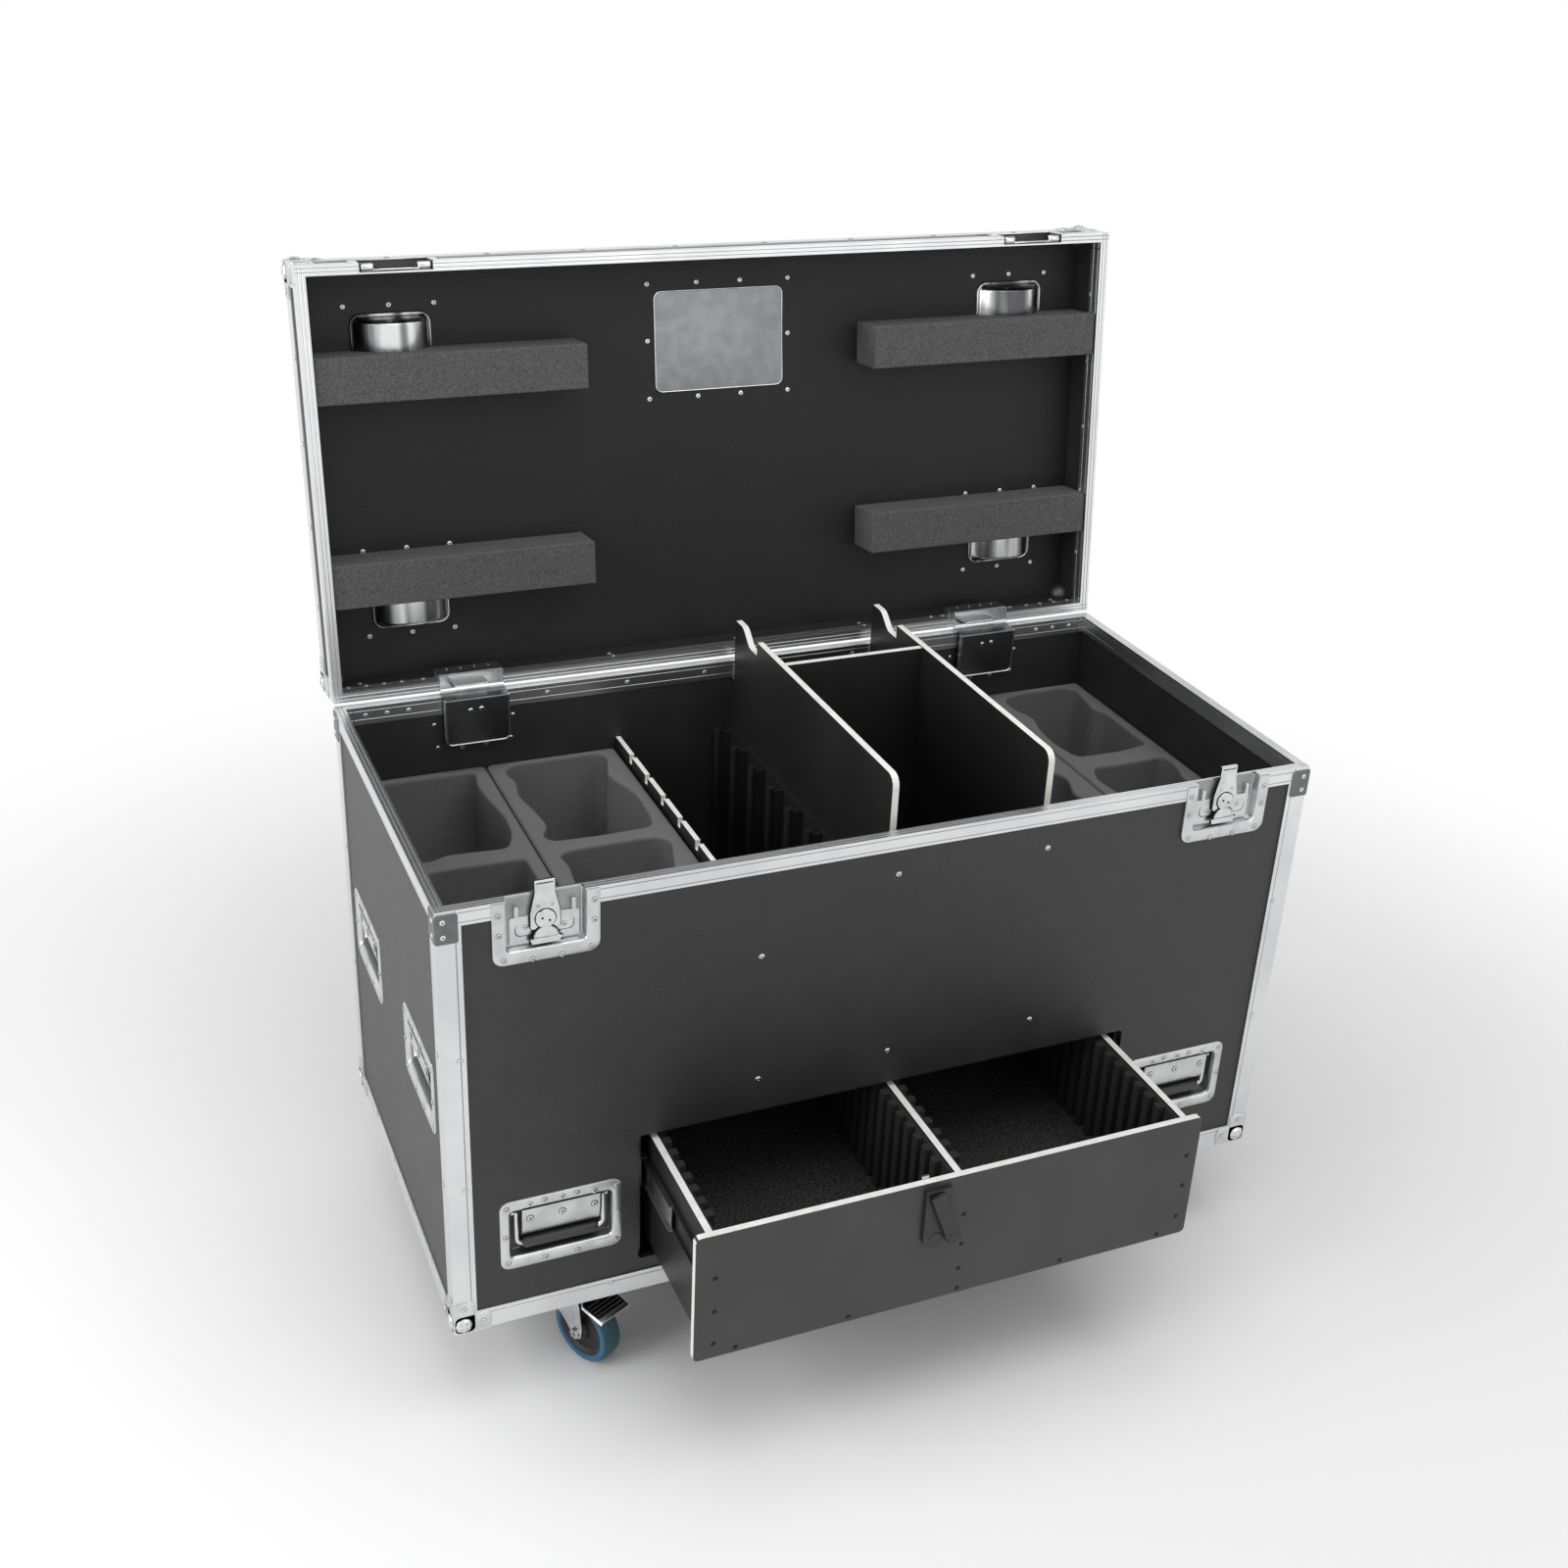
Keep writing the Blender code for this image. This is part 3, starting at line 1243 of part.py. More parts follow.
def make_lid(surfaces):
    """The lid, drawn closed and turned open about the hinge axis by its holder."""
    axis = (0, HINGE_Y, HINGE_Z)
    lid = holder("lid_holder", axis, rotation=(-LID_OPEN, 0, 0))

    blank, steps = edge_frame(LID_TOP, LID_RIM, corner_ball_shapes(LID_TOP, LID_RIM))
    below = LID_RIM - EDGE_LEG
    steps.append((CUT, latch_notches(below, LID_RIM + LATCH_LID_RISE + METAL)))
    steps += hinge_lid_steps(below)
    piece("lid_frame", about(shaped(blank, *steps), axis), surfaces["aluminium"], parent=lid)

    piece("lid_panel", about(lid_panel_mesh(), axis), surfaces["laminate"], parent=lid)
    piece("lid_walls", about(lid_walls_mesh(), axis), surfaces["laminate"], parent=lid)
    make_lid_foam(surfaces["foam"], lid, axis)


def hinge_lid_steps(below):
    """The lid halves of the hinges: a dish through the rim, a flange over it, a leaf and its knuckle."""
    half = HINGE_TUB_WIDTH / 2
    inner = HALF_Y - HINGE_LID_TUB_INWARD
    tub_top = LID_RIM + HINGE_LID_TUB_RISE
    steps = [(CUT, hinge_notches(below, LID_RIM + RIM_INNER_LEG + METAL))]
    for side in (-1, 1):
        middle = side * HINGE_X
        flange = prism(
            rounded(
                (middle, LID_RIM + (HINGE_FLANGE_RISE + 2 * METAL) / 2),
                HINGE_FLANGE_WIDTH,
                HINGE_FLANGE_RISE - 2 * METAL,
                0.010,
                corners="cd",
            ),
            "Y",
            HALF_Y - METAL / 2,
            HALF_Y + SHEET,
        )
        tub = block((middle - half, inner, LID_RIM + FIT), (middle + half, HALF_Y + SHEET / 2, tub_top))
        hollow = block(
            (middle - half + SHEET, inner + SHEET, below),
            (middle + half - SHEET, HALF_Y + BOARD, tub_top - SHEET),
        )
        clearance = round_bar(
            (HINGE_Y, HINGE_Z), KNUCKLE_RADIUS + 2 * FIT, "X", middle - half - FIT, middle + half + FIT, 16
        )
        leaf = block(
            (middle - KNUCKLE_HALF, HALF_Y - 3 * METAL, HINGE_Z),
            (middle + KNUCKLE_HALF, HALF_Y - METAL / 2, tub_top - SHEET / 2),
        )
        knuckle = round_bar(
            (HINGE_Y, HINGE_Z), KNUCKLE_RADIUS, "X", middle - KNUCKLE_HALF, middle + KNUCKLE_HALF, 12
        )
        steps += [(ADD, flange), (ADD, tub), (CUT, hollow), (CUT, clearance), (ADD, leaf), (ADD, knuckle)]
    return steps


def lid_panel_mesh():
    """The lid's board with its four castor cups and its label dish."""
    face_x = HALF_X - PANEL_FACE
    face_y = HALF_Y - PANEL_FACE
    panel = block((-face_x, -face_y, LID_PANEL_IN), (face_x, face_y, LID_PANEL_OUT))
    steps = []
    hollows = []
    for side in (-1, 1):
        for from_back in CUP_FROM_BACK:
            middle = (side * CUP_X, HALF_Y - from_back)
            flange = rounded(middle, CUP_FLANGE, CUP_FLANGE, CUP_SQUARE_CORNER)
            steps.append((ADD, prism(flange, "Z", LID_PANEL_OUT - METAL, LID_PANEL_OUT + SHEET)))
            collar_size = CUP_SQUARE + 2 * SHEET
            collar = rounded(middle, collar_size, collar_size, CUP_SQUARE_CORNER)
            collar_low = LID_PANEL_OUT - CUP_SQUARE_DEPTH
            steps.append((ADD, prism(collar, "Z", collar_low, LID_PANEL_OUT)))
            drum_low = LID_PANEL_OUT - CUP_DEPTH
            steps.append((ADD, round_bar(middle, CUP_RADIUS + SHEET, "Z", drum_low, LID_PANEL_OUT, 24)))
            square = rounded(middle, CUP_SQUARE, CUP_SQUARE, CUP_SQUARE_CORNER - SHEET)
            top = LID_PANEL_OUT + BOARD
            hollows.append((CUT, prism(square, "Z", collar_low + SHEET, top)))
            hollows.append((CUT, round_bar(middle, CUP_RADIUS, "Z", drum_low + SHEET, top, 24)))
    steps += [(ADD, mesh) for mesh in label_dish_shapes()[:2]]
    return shaped(panel, *steps, *hollows, (CUT, label_dish_shapes()[2]))


def lid_walls_mesh():
    """The lid's four side boards, with the latch strikes and the lid halves of the hinges."""
    low = LID_RIM + METAL + FIT
    high = LID_PANEL_IN - FIT
    walls = ring(PANEL_FACE, PANEL_BACK, low, high)
    steps = []
    half = LATCH_TUB_WIDTH / 2
    face = -HALF_Y
    floor = face + LATCH_TUB_DEPTH
    strike_top = LID_RIM + LATCH_LID_RISE
    for side in (-1, 1):
        middle = side * LATCH_X
        steps.append((ADD, block((middle - half, face - FIT, LID_RIM), (middle + half, floor, strike_top))))
        hollow = block(
            (middle - half + SHEET, face - BOARD, LID_RIM - BOARD),
            (middle + half - SHEET, floor - SHEET, strike_top - SHEET),
        )
        steps.append((CUT, hollow))
        lip_half = LATCH_TUB_WIDTH * 0.32
        lip = block(
            (middle - lip_half, face + STRIKE_LIP_SET_BACK, LID_RIM + METAL),
            (middle + lip_half, floor - SHEET / 2, LID_RIM + STRIKE_LIP_TOP),
        )
        steps.append((ADD, lip))
    steps.append((CUT, hinge_notches(LID_RIM - EDGE_LEG, LID_RIM + HINGE_LID_TUB_RISE + FIT)))
    return shaped(walls, *steps)


def label_dish_shapes():
    """The label dish's flange, its tray through the board, and the hollow of that tray."""
    middle = (0, HALF_Y - LABEL_FROM_BACK)
    inner_face = LID_PANEL_IN - SHEET
    wide = rounded(middle, LABEL_WIDTH + 2 * LABEL_FLANGE, LABEL_HEIGHT + 2 * LABEL_FLANGE, LABEL_CORNER)
    tray = rounded(middle, LABEL_WIDTH, LABEL_HEIGHT, LABEL_CORNER)
    narrow = rounded(middle, LABEL_WIDTH - 2 * SHEET, LABEL_HEIGHT - 2 * SHEET, LABEL_CORNER - SHEET)
    return (
        prism(wide, "Z", LID_PANEL_OUT - METAL, LID_PANEL_OUT + SHEET),
        prism(tray, "Z", inner_face, LID_PANEL_OUT),
        prism(narrow, "Z", inner_face + SHEET, LID_PANEL_OUT + BOARD),
    )


def make_lid_foam(foam, lid, axis):
    """Four foam bars on the lid's board, cut round the castor cups."""
    low = LID_RIM + FOAM_BAR_ABOVE_RIM
    high = LID_PANEL_IN - FIT
    clearance = CUP_RADIUS + SHEET + METAL
    collar = CUP_SQUARE + 2 * SHEET + 2 * METAL
    for side_word, side, (left, right) in (("left", -1, FOAM_BAR_LEFT), ("right", 1, FOAM_BAR_RIGHT)):
        for place, bar_from_back, cup_from_back in zip(("rear", "front"), FOAM_BAR_FROM_BACK, CUP_FROM_BACK):
            near = HALF_Y - bar_from_back
            bar = block((left, near - FOAM_BAR_WIDTH, low), (right, near, high))
            cup = (side * CUP_X, HALF_Y - cup_from_back)
            drum = round_bar(cup, clearance, "Z", LID_PANEL_OUT - CUP_DEPTH - METAL, high + BOARD, 24)
            square = prism(
                rounded(cup, collar, collar, CUP_SQUARE_CORNER),
                "Z",
                LID_PANEL_OUT - CUP_SQUARE_DEPTH - METAL,
                high + BOARD,
            )
            mesh = shaped(bar, (CUT, drum), (CUT, square))
            piece(f"lid_foam_{side_word}_{place}", about(mesh, axis), foam, parent=lid)


def wheel_mesh():
    """A tyre with a rounded tread on a dished wheel centre, bored for the axle."""
    half = WHEEL_WIDTH / 2
    hub_half = WHEEL_HUB_WIDTH / 2
    tread = WHEEL_RADIUS
    shoulder = WHEEL_RADIUS - 0.004
    bead = WHEEL_RADIUS - 0.014
    hub = 0.013
    bore = AXLE_RADIUS + FIT
    dish = half - 0.006
    side = [
        (tread, half * 0.55),
        (shoulder, half),
        (bead, half),
        (bead - METAL, dish),
        (hub + METAL, dish),
        (hub, hub_half),
        (bore, hub_half),
    ]
    profile = side + [(radius, -along) for radius, along in reversed(side)]
    return turned(profile, 24)


def fork_mesh():
    """The swivel head and its two tapered side plates, with the axle through them."""
    head_top = CASTOR_TOP - CASTOR_PLATE - FIT
    crown_top = head_top - RACE_HEIGHT
    crown_low = crown_top - FORK_METAL
    half_length = FORK_TOP_LENGTH / 2
    plate_in = WHEEL_HUB_WIDTH / 2 + 2 * FIT
    plate_out = plate_in + FORK_METAL
    race = round_bar((0, 0), RACE_RADIUS, "Z", crown_low, head_top, segments=20)
    crown = prism(
        rounded((0, 0), FORK_TOP_LENGTH, 2 * plate_out, RACE_RADIUS / 4, steps=2), "Z", crown_low, crown_top
    )
    foot = AXLE_RADIUS * 2.3
    outline = [(-half_length + METAL, crown_top - FIT), (-half_length + METAL, crown_low - METAL)]
    for step in range(5):
        angle = math.radians(200 + step * 40)
        outline.append((WHEEL_TRAIL + foot * math.cos(angle), AXLE_Z + foot * math.sin(angle)))
    outline += [(half_length - METAL, crown_low - METAL), (half_length - METAL, crown_top - FIT)]
    steps = [(ADD, crown)]
    for side in (-1, 1):
        steps.append((ADD, prism(outline, "Y", side * plate_in, side * plate_out)))
    axle_half = plate_out + AXLE_RADIUS
    steps.append(
        (ADD, round_bar((WHEEL_TRAIL, AXLE_Z), AXLE_RADIUS, "Y", -axle_half, axle_half, segments=12))
    )
    return shaped(race, *steps)


def pedal_mesh():
    """The brake pedal: a narrow neck on its pin, widening to a tread plate past the wheel."""
    top = CASTOR_TOP - CASTOR_PLATE - PEDAL_PIVOT_DROP
    neck_half = WHEEL_HUB_WIDTH / 2 - METAL / 2
    fork_end = WHEEL_TRAIL + AXLE_RADIUS * 4
    slope = PEDAL_FALL / (PEDAL_REACH - PEDAL_PIVOT_TRAIL)
    thick = FORK_METAL
    outline = (
        (PEDAL_PIVOT_TRAIL - METAL, top),
        (PEDAL_PIVOT_TRAIL - METAL, top - thick),
        (PEDAL_REACH, top - thick - PEDAL_FALL),
        (PEDAL_REACH, top - PEDAL_FALL),
    )
    neck = prism(outline, "Y", -neck_half, neck_half)
    fall = slope * (fork_end - PEDAL_PIVOT_TRAIL)
    tread_outline = (
        (fork_end, top - fall + thick / 4),
        (fork_end, top - fall - thick * 1.25),
        (PEDAL_REACH - thick, top - PEDAL_FALL - thick * 1.25),
        (PEDAL_REACH - thick, top - PEDAL_FALL + thick / 4),
    )
    tread = prism(tread_outline, "Y", -PEDAL_WIDTH / 2, PEDAL_WIDTH / 2)
    pin_half = WHEEL_HUB_WIDTH / 2 + FIT
    pin = round_bar((PEDAL_PIVOT_TRAIL, top - thick / 2), METAL, "Y", -pin_half, pin_half, segments=10)
    mesh = shaped(neck, (ADD, tread), (ADD, pin))
    return mesh, (PEDAL_PIVOT_TRAIL, 0, top - thick / 2)


def make_castors(surfaces):
    """Four swivel castors; the front pair has brakes."""
    fork = fork_mesh()
    wheel = wheel_mesh()
    pedal, pedal_pivot = pedal_mesh()
    pedal = about(pedal, pedal_pivot)
    for name, (side_x, side_y) in CASTORS.items():
        place = (side_x * CASTOR_X, side_y * CASTOR_Y, 0)
        swivel = holder(f"castor_holder_{name}", place, rotation=(0, 0, CASTOR_HEADING))
        piece(f"castor_fork_{name}", fork.copy(), surfaces["steel"], parent=swivel)
        axle = (WHEEL_TRAIL, 0, AXLE_Z)
        piece(f"castor_wheel_{name}", wheel.copy(), surfaces["tyre"], location=axle, parent=swivel)
        if side_y < 0:
            piece(f"brake_pedal_{name}", pedal.copy(), surfaces["steel"], location=pedal_pivot, parent=swivel)


def main():
    """Build the case."""
    clear_scene()
    surfaces = {
        "aluminium": finish("aluminium", (0.78, 0.79, 0.80), 0.30, 1.0),
        "steel": finish("zinc steel", (0.70, 0.71, 0.72), 0.28, 1.0),
        "laminate": finish("dark laminate", (0.035, 0.035, 0.036), 0.55, 0.0),
        "board": finish("black board", (0.030, 0.030, 0.031), 0.60, 0.0),
        "foam": finish("dark foam", (0.060, 0.061, 0.063), 0.95, 0.0),
        "black": finish("black rubber", (0.012, 0.012, 0.013), 0.70, 0.0),
        "tyre": finish("blue tyre", (0.030, 0.130, 0.240), 0.60, 0.0),
    }
    make_case_frame(surfaces["aluminium"])
    make_panels(surfaces["laminate"])
    make_base(surfaces["board"])
    make_drawer_bay(surfaces["board"])
    make_runner_middles(surfaces["steel"], DRAWER_SHOWN_OUT)
    make_drawer(surfaces)
    make_interior(surfaces["board"], surfaces["foam"])
    make_latches(surfaces["steel"])
    make_handles(surfaces["steel"], surfaces["black"])
    make_hinge_dishes(surfaces["steel"])
    make_lid(surfaces)
    make_castors(surfaces)
    bpy.context.view_layer.update()


main()
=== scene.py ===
"""The visual model of a charging flight case: finishes, pressed hardware, foam and rivets on the frame."""

import math

import bmesh
import bpy
import numpy as np
from bpy.props import FloatProperty, FloatVectorProperty, IntProperty, PointerProperty
from mathutils import Matrix


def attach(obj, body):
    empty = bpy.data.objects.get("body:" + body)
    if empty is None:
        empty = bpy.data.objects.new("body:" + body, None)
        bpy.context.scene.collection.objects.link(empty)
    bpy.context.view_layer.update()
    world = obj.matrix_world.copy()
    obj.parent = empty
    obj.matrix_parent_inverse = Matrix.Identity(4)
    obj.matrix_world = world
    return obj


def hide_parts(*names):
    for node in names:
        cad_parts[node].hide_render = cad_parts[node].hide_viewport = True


bl_info = {
    "name": "Charging flight case",
    "version": (1, 0, 0),
    "blender": (4, 5, 0),
    "location": "View3D > Sidebar > Case",
    "description": "Builds the finishes, hardware, foam and rivets of a charging flight case",
    "category": "Object",
}

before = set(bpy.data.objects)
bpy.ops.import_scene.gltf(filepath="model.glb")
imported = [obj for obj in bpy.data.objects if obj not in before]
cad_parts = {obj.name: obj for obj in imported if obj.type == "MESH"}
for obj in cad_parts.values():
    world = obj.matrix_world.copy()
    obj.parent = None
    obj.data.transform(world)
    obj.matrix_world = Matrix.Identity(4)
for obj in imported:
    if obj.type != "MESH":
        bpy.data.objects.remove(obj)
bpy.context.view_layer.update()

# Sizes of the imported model, in metres
HALF_X = 0.6
HALF_Y = 0.292
HEIGHT = 0.623
LID_RIM = 0.6238
LID_TOP = 0.7038
LID_BOARD = 0.6925
LID_OUTER = LID_TOP - 0.0023
HINGE_X = 0.406
HINGE_Y = 0.2934
HINGE_Z = 0.6254
LID_OPEN = math.radians(96.17)
DRAWER_OUT = 0.2023
FACE = -0.2897
DRAWER_FACE = FACE - DRAWER_OUT
INSIDE = 0.0116
DECK = 0.2655
FLOOR = -0.14
CROWN = -0.0173
LATCH_X = 0.47
LATCH_TURN_Z = HEIGHT - 0.033
CUP_X = 0.47
CUP_LEVELS = {"rear": 0.161, "front": -0.1695}
CUP_PAN = 0.69
LABEL = (0.0, HALF_Y - 0.452)
AXLE = (0.036, 0.0, -0.09)
CASTOR_HEADING = math.radians(-64)
HANDLES = ("front_left", "front_right", "left_front", "left_rear", "right_front", "right_rear")
CASTORS = {"front_left": (-1, -1), "front_right": (1, -1), "rear_left": (-1, 1), "rear_right": (1, 1)}
SIDES = {"left": -1, "right": 1}
CORNERS = tuple(CASTORS.values())
FRONT = (0, -1, 0)
CASTOR_X, CASTOR_Y = 0.4235, 0.207
FRONT_HANDLE = (0.457, 0.137)
SIDE_HANDLE = (0.5977, 0.153, 0.32)
GROOVE = 0.0235
RIVET_INSET = 0.0215
RIM_INSET = 0.0136


# Shader maths


class Value:
    """A shader socket that can be used in Python expressions."""

    def __init__(self, net, socket):
        self.net = net
        self.socket = socket

    def math(self, operation, *others):
        return self.net.maths(operation, self, *others)

    def __add__(self, other):
        return self.math("ADD", other)

    def __sub__(self, other):
        return self.math("SUBTRACT", other)

    def __mul__(self, other):
        return self.math("MULTIPLY", other)

    def __truediv__(self, other):
        return self.math("DIVIDE", other)

    def __gt__(self, other):
        return self.math("GREATER_THAN", other)

    def __lt__(self, other):
        return self.math("LESS_THAN", other)

    def __rsub__(self, other):
        return self.net.maths("SUBTRACT", other, self)

    def __abs__(self):
        return self.math("ABSOLUTE")

    __radd__ = __add__
    __rmul__ = __mul__

    def near(self, place, width):
        """1 at a place, falling in a straight line to 0 at the width from it."""
        return (1 - abs(self - place) / width).math("MAXIMUM", 0.0)

    def ramp(self, low, high):
        """0 below low, 1 above high and a smooth rise between them."""
        inputs = {0: self, 1: low, 2: high}
        node = self.net.node("ShaderNodeMapRange", {"interpolation_type": "SMOOTHSTEP"}, inputs)
        return Value(self.net, node.outputs[0])


class Net:
    """A node tree and short ways to add to it."""

    def __init__(self, tree):
        self.tree = tree

    def node(self, kind, settings=None, inputs=None):
        """A node with its settings made first and then the values or links of its sockets."""
        made = self.tree.nodes.new(kind)
        for key, value in (settings or {}).items():
            setattr(made, key, value)
        self.set(made, inputs or {})
        return made

    def set(self, node, inputs):
        for key, value in inputs.items():
            socket = node.inputs[key]
            if isinstance(value, Value):
                self.tree.links.new(value.socket, socket)
            elif isinstance(value, bpy.types.NodeSocket):
                self.tree.links.new(value, socket)
            elif isinstance(value, (tuple, list)) and len(value) == 3 and socket.type == "RGBA":
                socket.default_value = (*value, 1.0)
            else:
                socket.default_value = value

    def maths(self, operation, *values):
        node = self.node("ShaderNodeMath", {"operation": operation}, dict(enumerate(values)))
        return Value(self, node.outputs[0])

    def axes(self, socket):
        """The X, Y and Z of a vector."""
        return [Value(self, part) for part in self.node("ShaderNodeSeparateXYZ", None, {0: socket}).outputs]

    def rays(self):
        """Whether a ray comes from the camera, a mirror or a clear surface, each 0 or 1."""
        path = self.node("ShaderNodeLightPath").outputs
        return [Value(self, path[f"Is {kind} Ray"]) for kind in ("Camera", "Glossy", "Transmission")]


class Finish(Net):
    """One material, its Principled shader and the nodes that feed it."""

    def __init__(self, name, colour, roughness, metallic=0.0, specular=0.5):
        self.material = bpy.data.materials.new(name)
        self.material.use_nodes = True
        super().__init__(self.material.node_tree)
        self.shader = self.tree.nodes["Principled BSDF"]
        self.set(self.shader, {"Base Color": colour, "Roughness": roughness, "Metallic": metallic})
        self.set(self.shader, {"Specular IOR Level": specular})
        self.object_place = self.node("ShaderNodeTexCoord").outputs["Object"]

    def place(self):
        """The X, Y and Z of the object's own coordinates."""
        return self.axes(self.object_place)

    def facing(self):
        """How squarely the surface faces along X, Y and Z, each from 0 to 1."""
        return [abs(part) for part in self.axes(self.node("ShaderNodeTexCoord").outputs["Normal"])]

    def shade(self):
        """The shade kept with the points of a piece."""
        return Value(self, self.node("ShaderNodeAttribute", {"attribute_name": "shade"}).outputs["Fac"])

    def noise(self, scale, detail=3.0, roughness=0.5, stretch=(1, 1, 1)):
        mapped = {"Vector": self.object_place, "Scale": stretch}
        vector = self.node("ShaderNodeMapping", None, mapped).outputs[0]
        inputs = {"Vector": vector, "Scale": scale, "Detail": detail, "Roughness": roughness}
        return Value(self, self.node("ShaderNodeTexNoise", None, inputs).outputs["Fac"])

    def cells(self, scale):
        inputs = {"Vector": self.object_place, "Scale": scale}
        return Value(self, self.node("ShaderNodeTexVoronoi", {"feature": "F1"}, inputs).outputs["Distance"])

    def mix(self, share, low, high):
        return self.node("ShaderNodeMix", {"data_type": "RGBA"}, {0: share, 6: low, 7: high}).outputs[2]

    def colour(self, value):
        self.set(self.shader, {"Base Color": value})

    def rough(self, value):
        self.set(self.shader, {"Roughness": value})

    def bump(self, height, depth):
        """Raises the surface by a height of 0 to 1 times the depth in metres."""
        node = self.node("ShaderNodeBump", None, {"Height": height, "Distance": depth, "Strength": 1.0})
        self.set(self.shader, {"Normal": node.outputs[0]})


def tint(colour, share):
    return tuple(part * share for part in colour)


def lid_place(finish):
    """The object coordinates turned back to where they are with the lid shut."""
    x, y, z = finish.place()
    cosine, sine = math.cos(LID_OPEN), math.sin(LID_OPEN)
    back, up = y - HINGE_Y, z - HINGE_Z
    return x, back * cosine - up * sine + HINGE_Y, back * sine + up * cosine + HINGE_Z


def grooved(x, y, z, outer, rim):
    """Fine grooves along each extrusion, counted from the case's outer edges: 0 in a groove, 1 beside it;
    the mask shapes the bump and paints shade into the grooves.
    """
    toward = 1 if rim > outer else -1
    side, back = HALF_X - abs(x), HALF_Y - abs(y)
    from_outer, from_rim = (z - outer) * toward, (rim - z) * toward
    wide = 0.0007
    lines = side.near(GROOVE, wide) + back.near(GROOVE, wide)
    lines += from_outer.near(GROOVE, wide) + from_rim.near(0.0052, wide) + from_rim.near(0.018, wide)
    total = lines * (from_rim > 0.001)
    for inset in (0.0042, 0.0094):
        web = (side.near(inset, 0.0006) + back.near(inset, 0.0006)).math("MINIMUM", 1.0)
        total += (from_rim < 0.0009) * web
    return 1 - total.math("MINIMUM", 1.0)


def aluminium(name, lid=False):
    """Anodised extrusion: fine grooves darkened with painted shade, a faint drawn grain and soft cloudy
    marks.
    """
    finish = Finish(name, (0.9, 0.905, 0.91), 0.3, 1.0)
    x, y, z = lid_place(finish) if lid else finish.place()
    outer, rim = (LID_TOP, LID_RIM) if lid else (0.0, HEIGHT)
    cloud = finish.noise(9.0, 4.0)
    grain = finish.noise(900.0, 2.0, 0.5, (0.06, 0.06, 0.06))
    lines = grooved(x, y, z, outer, rim)
    clean = finish.mix(cloud.ramp(0.35, 0.7), (0.76, 0.765, 0.77), (0.66, 0.665, 0.675))
    # Painted shade: the grooves and the rim's webs are darkened to 0.22 in the colour.
    finish.colour(finish.mix(lines, (0.22, 0.222, 0.226), clean))
    finish.rough(0.26 + cloud * 0.12)
    finish.bump(lines + grain * 0.12, 0.0005)
    return finish.material


def steel(name="zinc_steel", colour=(0.7, 0.705, 0.71), rough=0.14):
    """Bright zinc plate with a faint grain and uneven shine."""
    finish = Finish(name, colour, rough, 1.0)
    cloud = finish.noise(40.0, 4.0)
    fine = finish.noise(1400.0, 2.0)
    shade = finish.shade()
    clean = finish.mix(cloud.ramp(0.35, 0.7), colour, tint(colour, 0.84))
    # The shade attribute darkens colour and roughness: painted shade in seams, hollows and round rivets, and
    # the pedal tread's own black.
    finish.colour(finish.mix(shade, clean, (0.018, 0.018, 0.019)))
    finish.rough(rough + cloud * 0.12 + shade * 0.4)
    finish.bump(fine * 0.5 + finish.noise(60.0, 2.0) * 0.6, 0.00016)
    return finish.material


def drawn_steel():
    """Chromed sheet with light and dark streaks of painted reflection along the cup."""
    finish = Finish("drawn_steel", (0.7, 0.7, 0.7), 0.2, 1.0)
    reflection_streak = finish.noise(34.0, 2.0, 0.5, (1.0, 0.05, 0.05)).ramp(0.36, 0.62)
    fine = finish.noise(240.0, 2.0, 0.5, (1.0, 0.03, 0.03))
    # Painted reflection: the streaks swing the colour from 0.1 to 0.78, and the shade attribute darkens the
    # pan floor.
    clean = finish.mix(reflection_streak, (0.1, 0.101, 0.104), (0.78, 0.785, 0.79))
    finish.colour(finish.mix(finish.shade(), clean, (0.03, 0.03, 0.031)))
    finish.rough(0.16 + fine * 0.14)
    finish.bump(fine, 0.00005)
    return finish.material


def laminate(name, colour, rough=0.4, gloss=0.6):
    """Dark resin-faced board with a pressed pebble grain."""
    finish = Finish(name, colour, rough, 0.0, gloss)
    pebble = finish.cells(620.0)
    cloud = finish.noise(14.0, 4.0)
    finish.colour(finish.mix(cloud.ramp(0.3, 0.75), colour, tint(colour, 1.35)))
    finish.rough(rough + cloud * 0.1)
    finish.bump(1 - pebble, 0.00045)
    return finish.material


def film_board(name, film_mask=None, colour=(0.0125, 0.0125, 0.013), edge=(0.8, 0.79, 0.76)):
    """Smooth black film on birch board; the sawn edges, where the mask is 0, are pale."""
    finish = Finish(name, colour, 0.34)
    mask = film_mask(finish) if film_mask else 1.0
    grain = finish.noise(60.0, 4.0, 0.6, (1, 1, 8))
    cloud = finish.noise(8.0, 3.0)
    pale = finish.mix(grain.ramp(0.3, 0.75), edge, tint(edge, 0.86))
    dark = finish.mix(cloud.ramp(0.3, 0.8), colour, tint(colour, 1.4))
    finish.colour(finish.mix(mask, pale, dark))
    finish.rough(0.62 - mask * 0.26 + cloud * 0.06)
    finish.bump(finish.noise(800.0, 2.0), 0.00008)
    return finish.material


def foam(name, colour, speckle, scale, depth):
    """Closed-cell foam: fine open pores with pale and dark specks."""
    finish = Finish(name, colour, 0.95, 0.0, 0.25)
    fine = finish.noise(scale, 3.0, 0.7)
    cell = finish.cells(scale * 0.55)
    coarse = finish.noise(scale * 0.42, 2.0, 0.8)
    pale, dark = tint(colour, 1 + speckle), tint(colour, 1 - 0.55 * speckle)
    finish.colour(finish.mix((fine * 0.45 + coarse * 0.55).ramp(0.38, 0.62), dark, pale))
    finish.bump(cell * 0.6 + fine * 0.4, depth)
    return finish.material


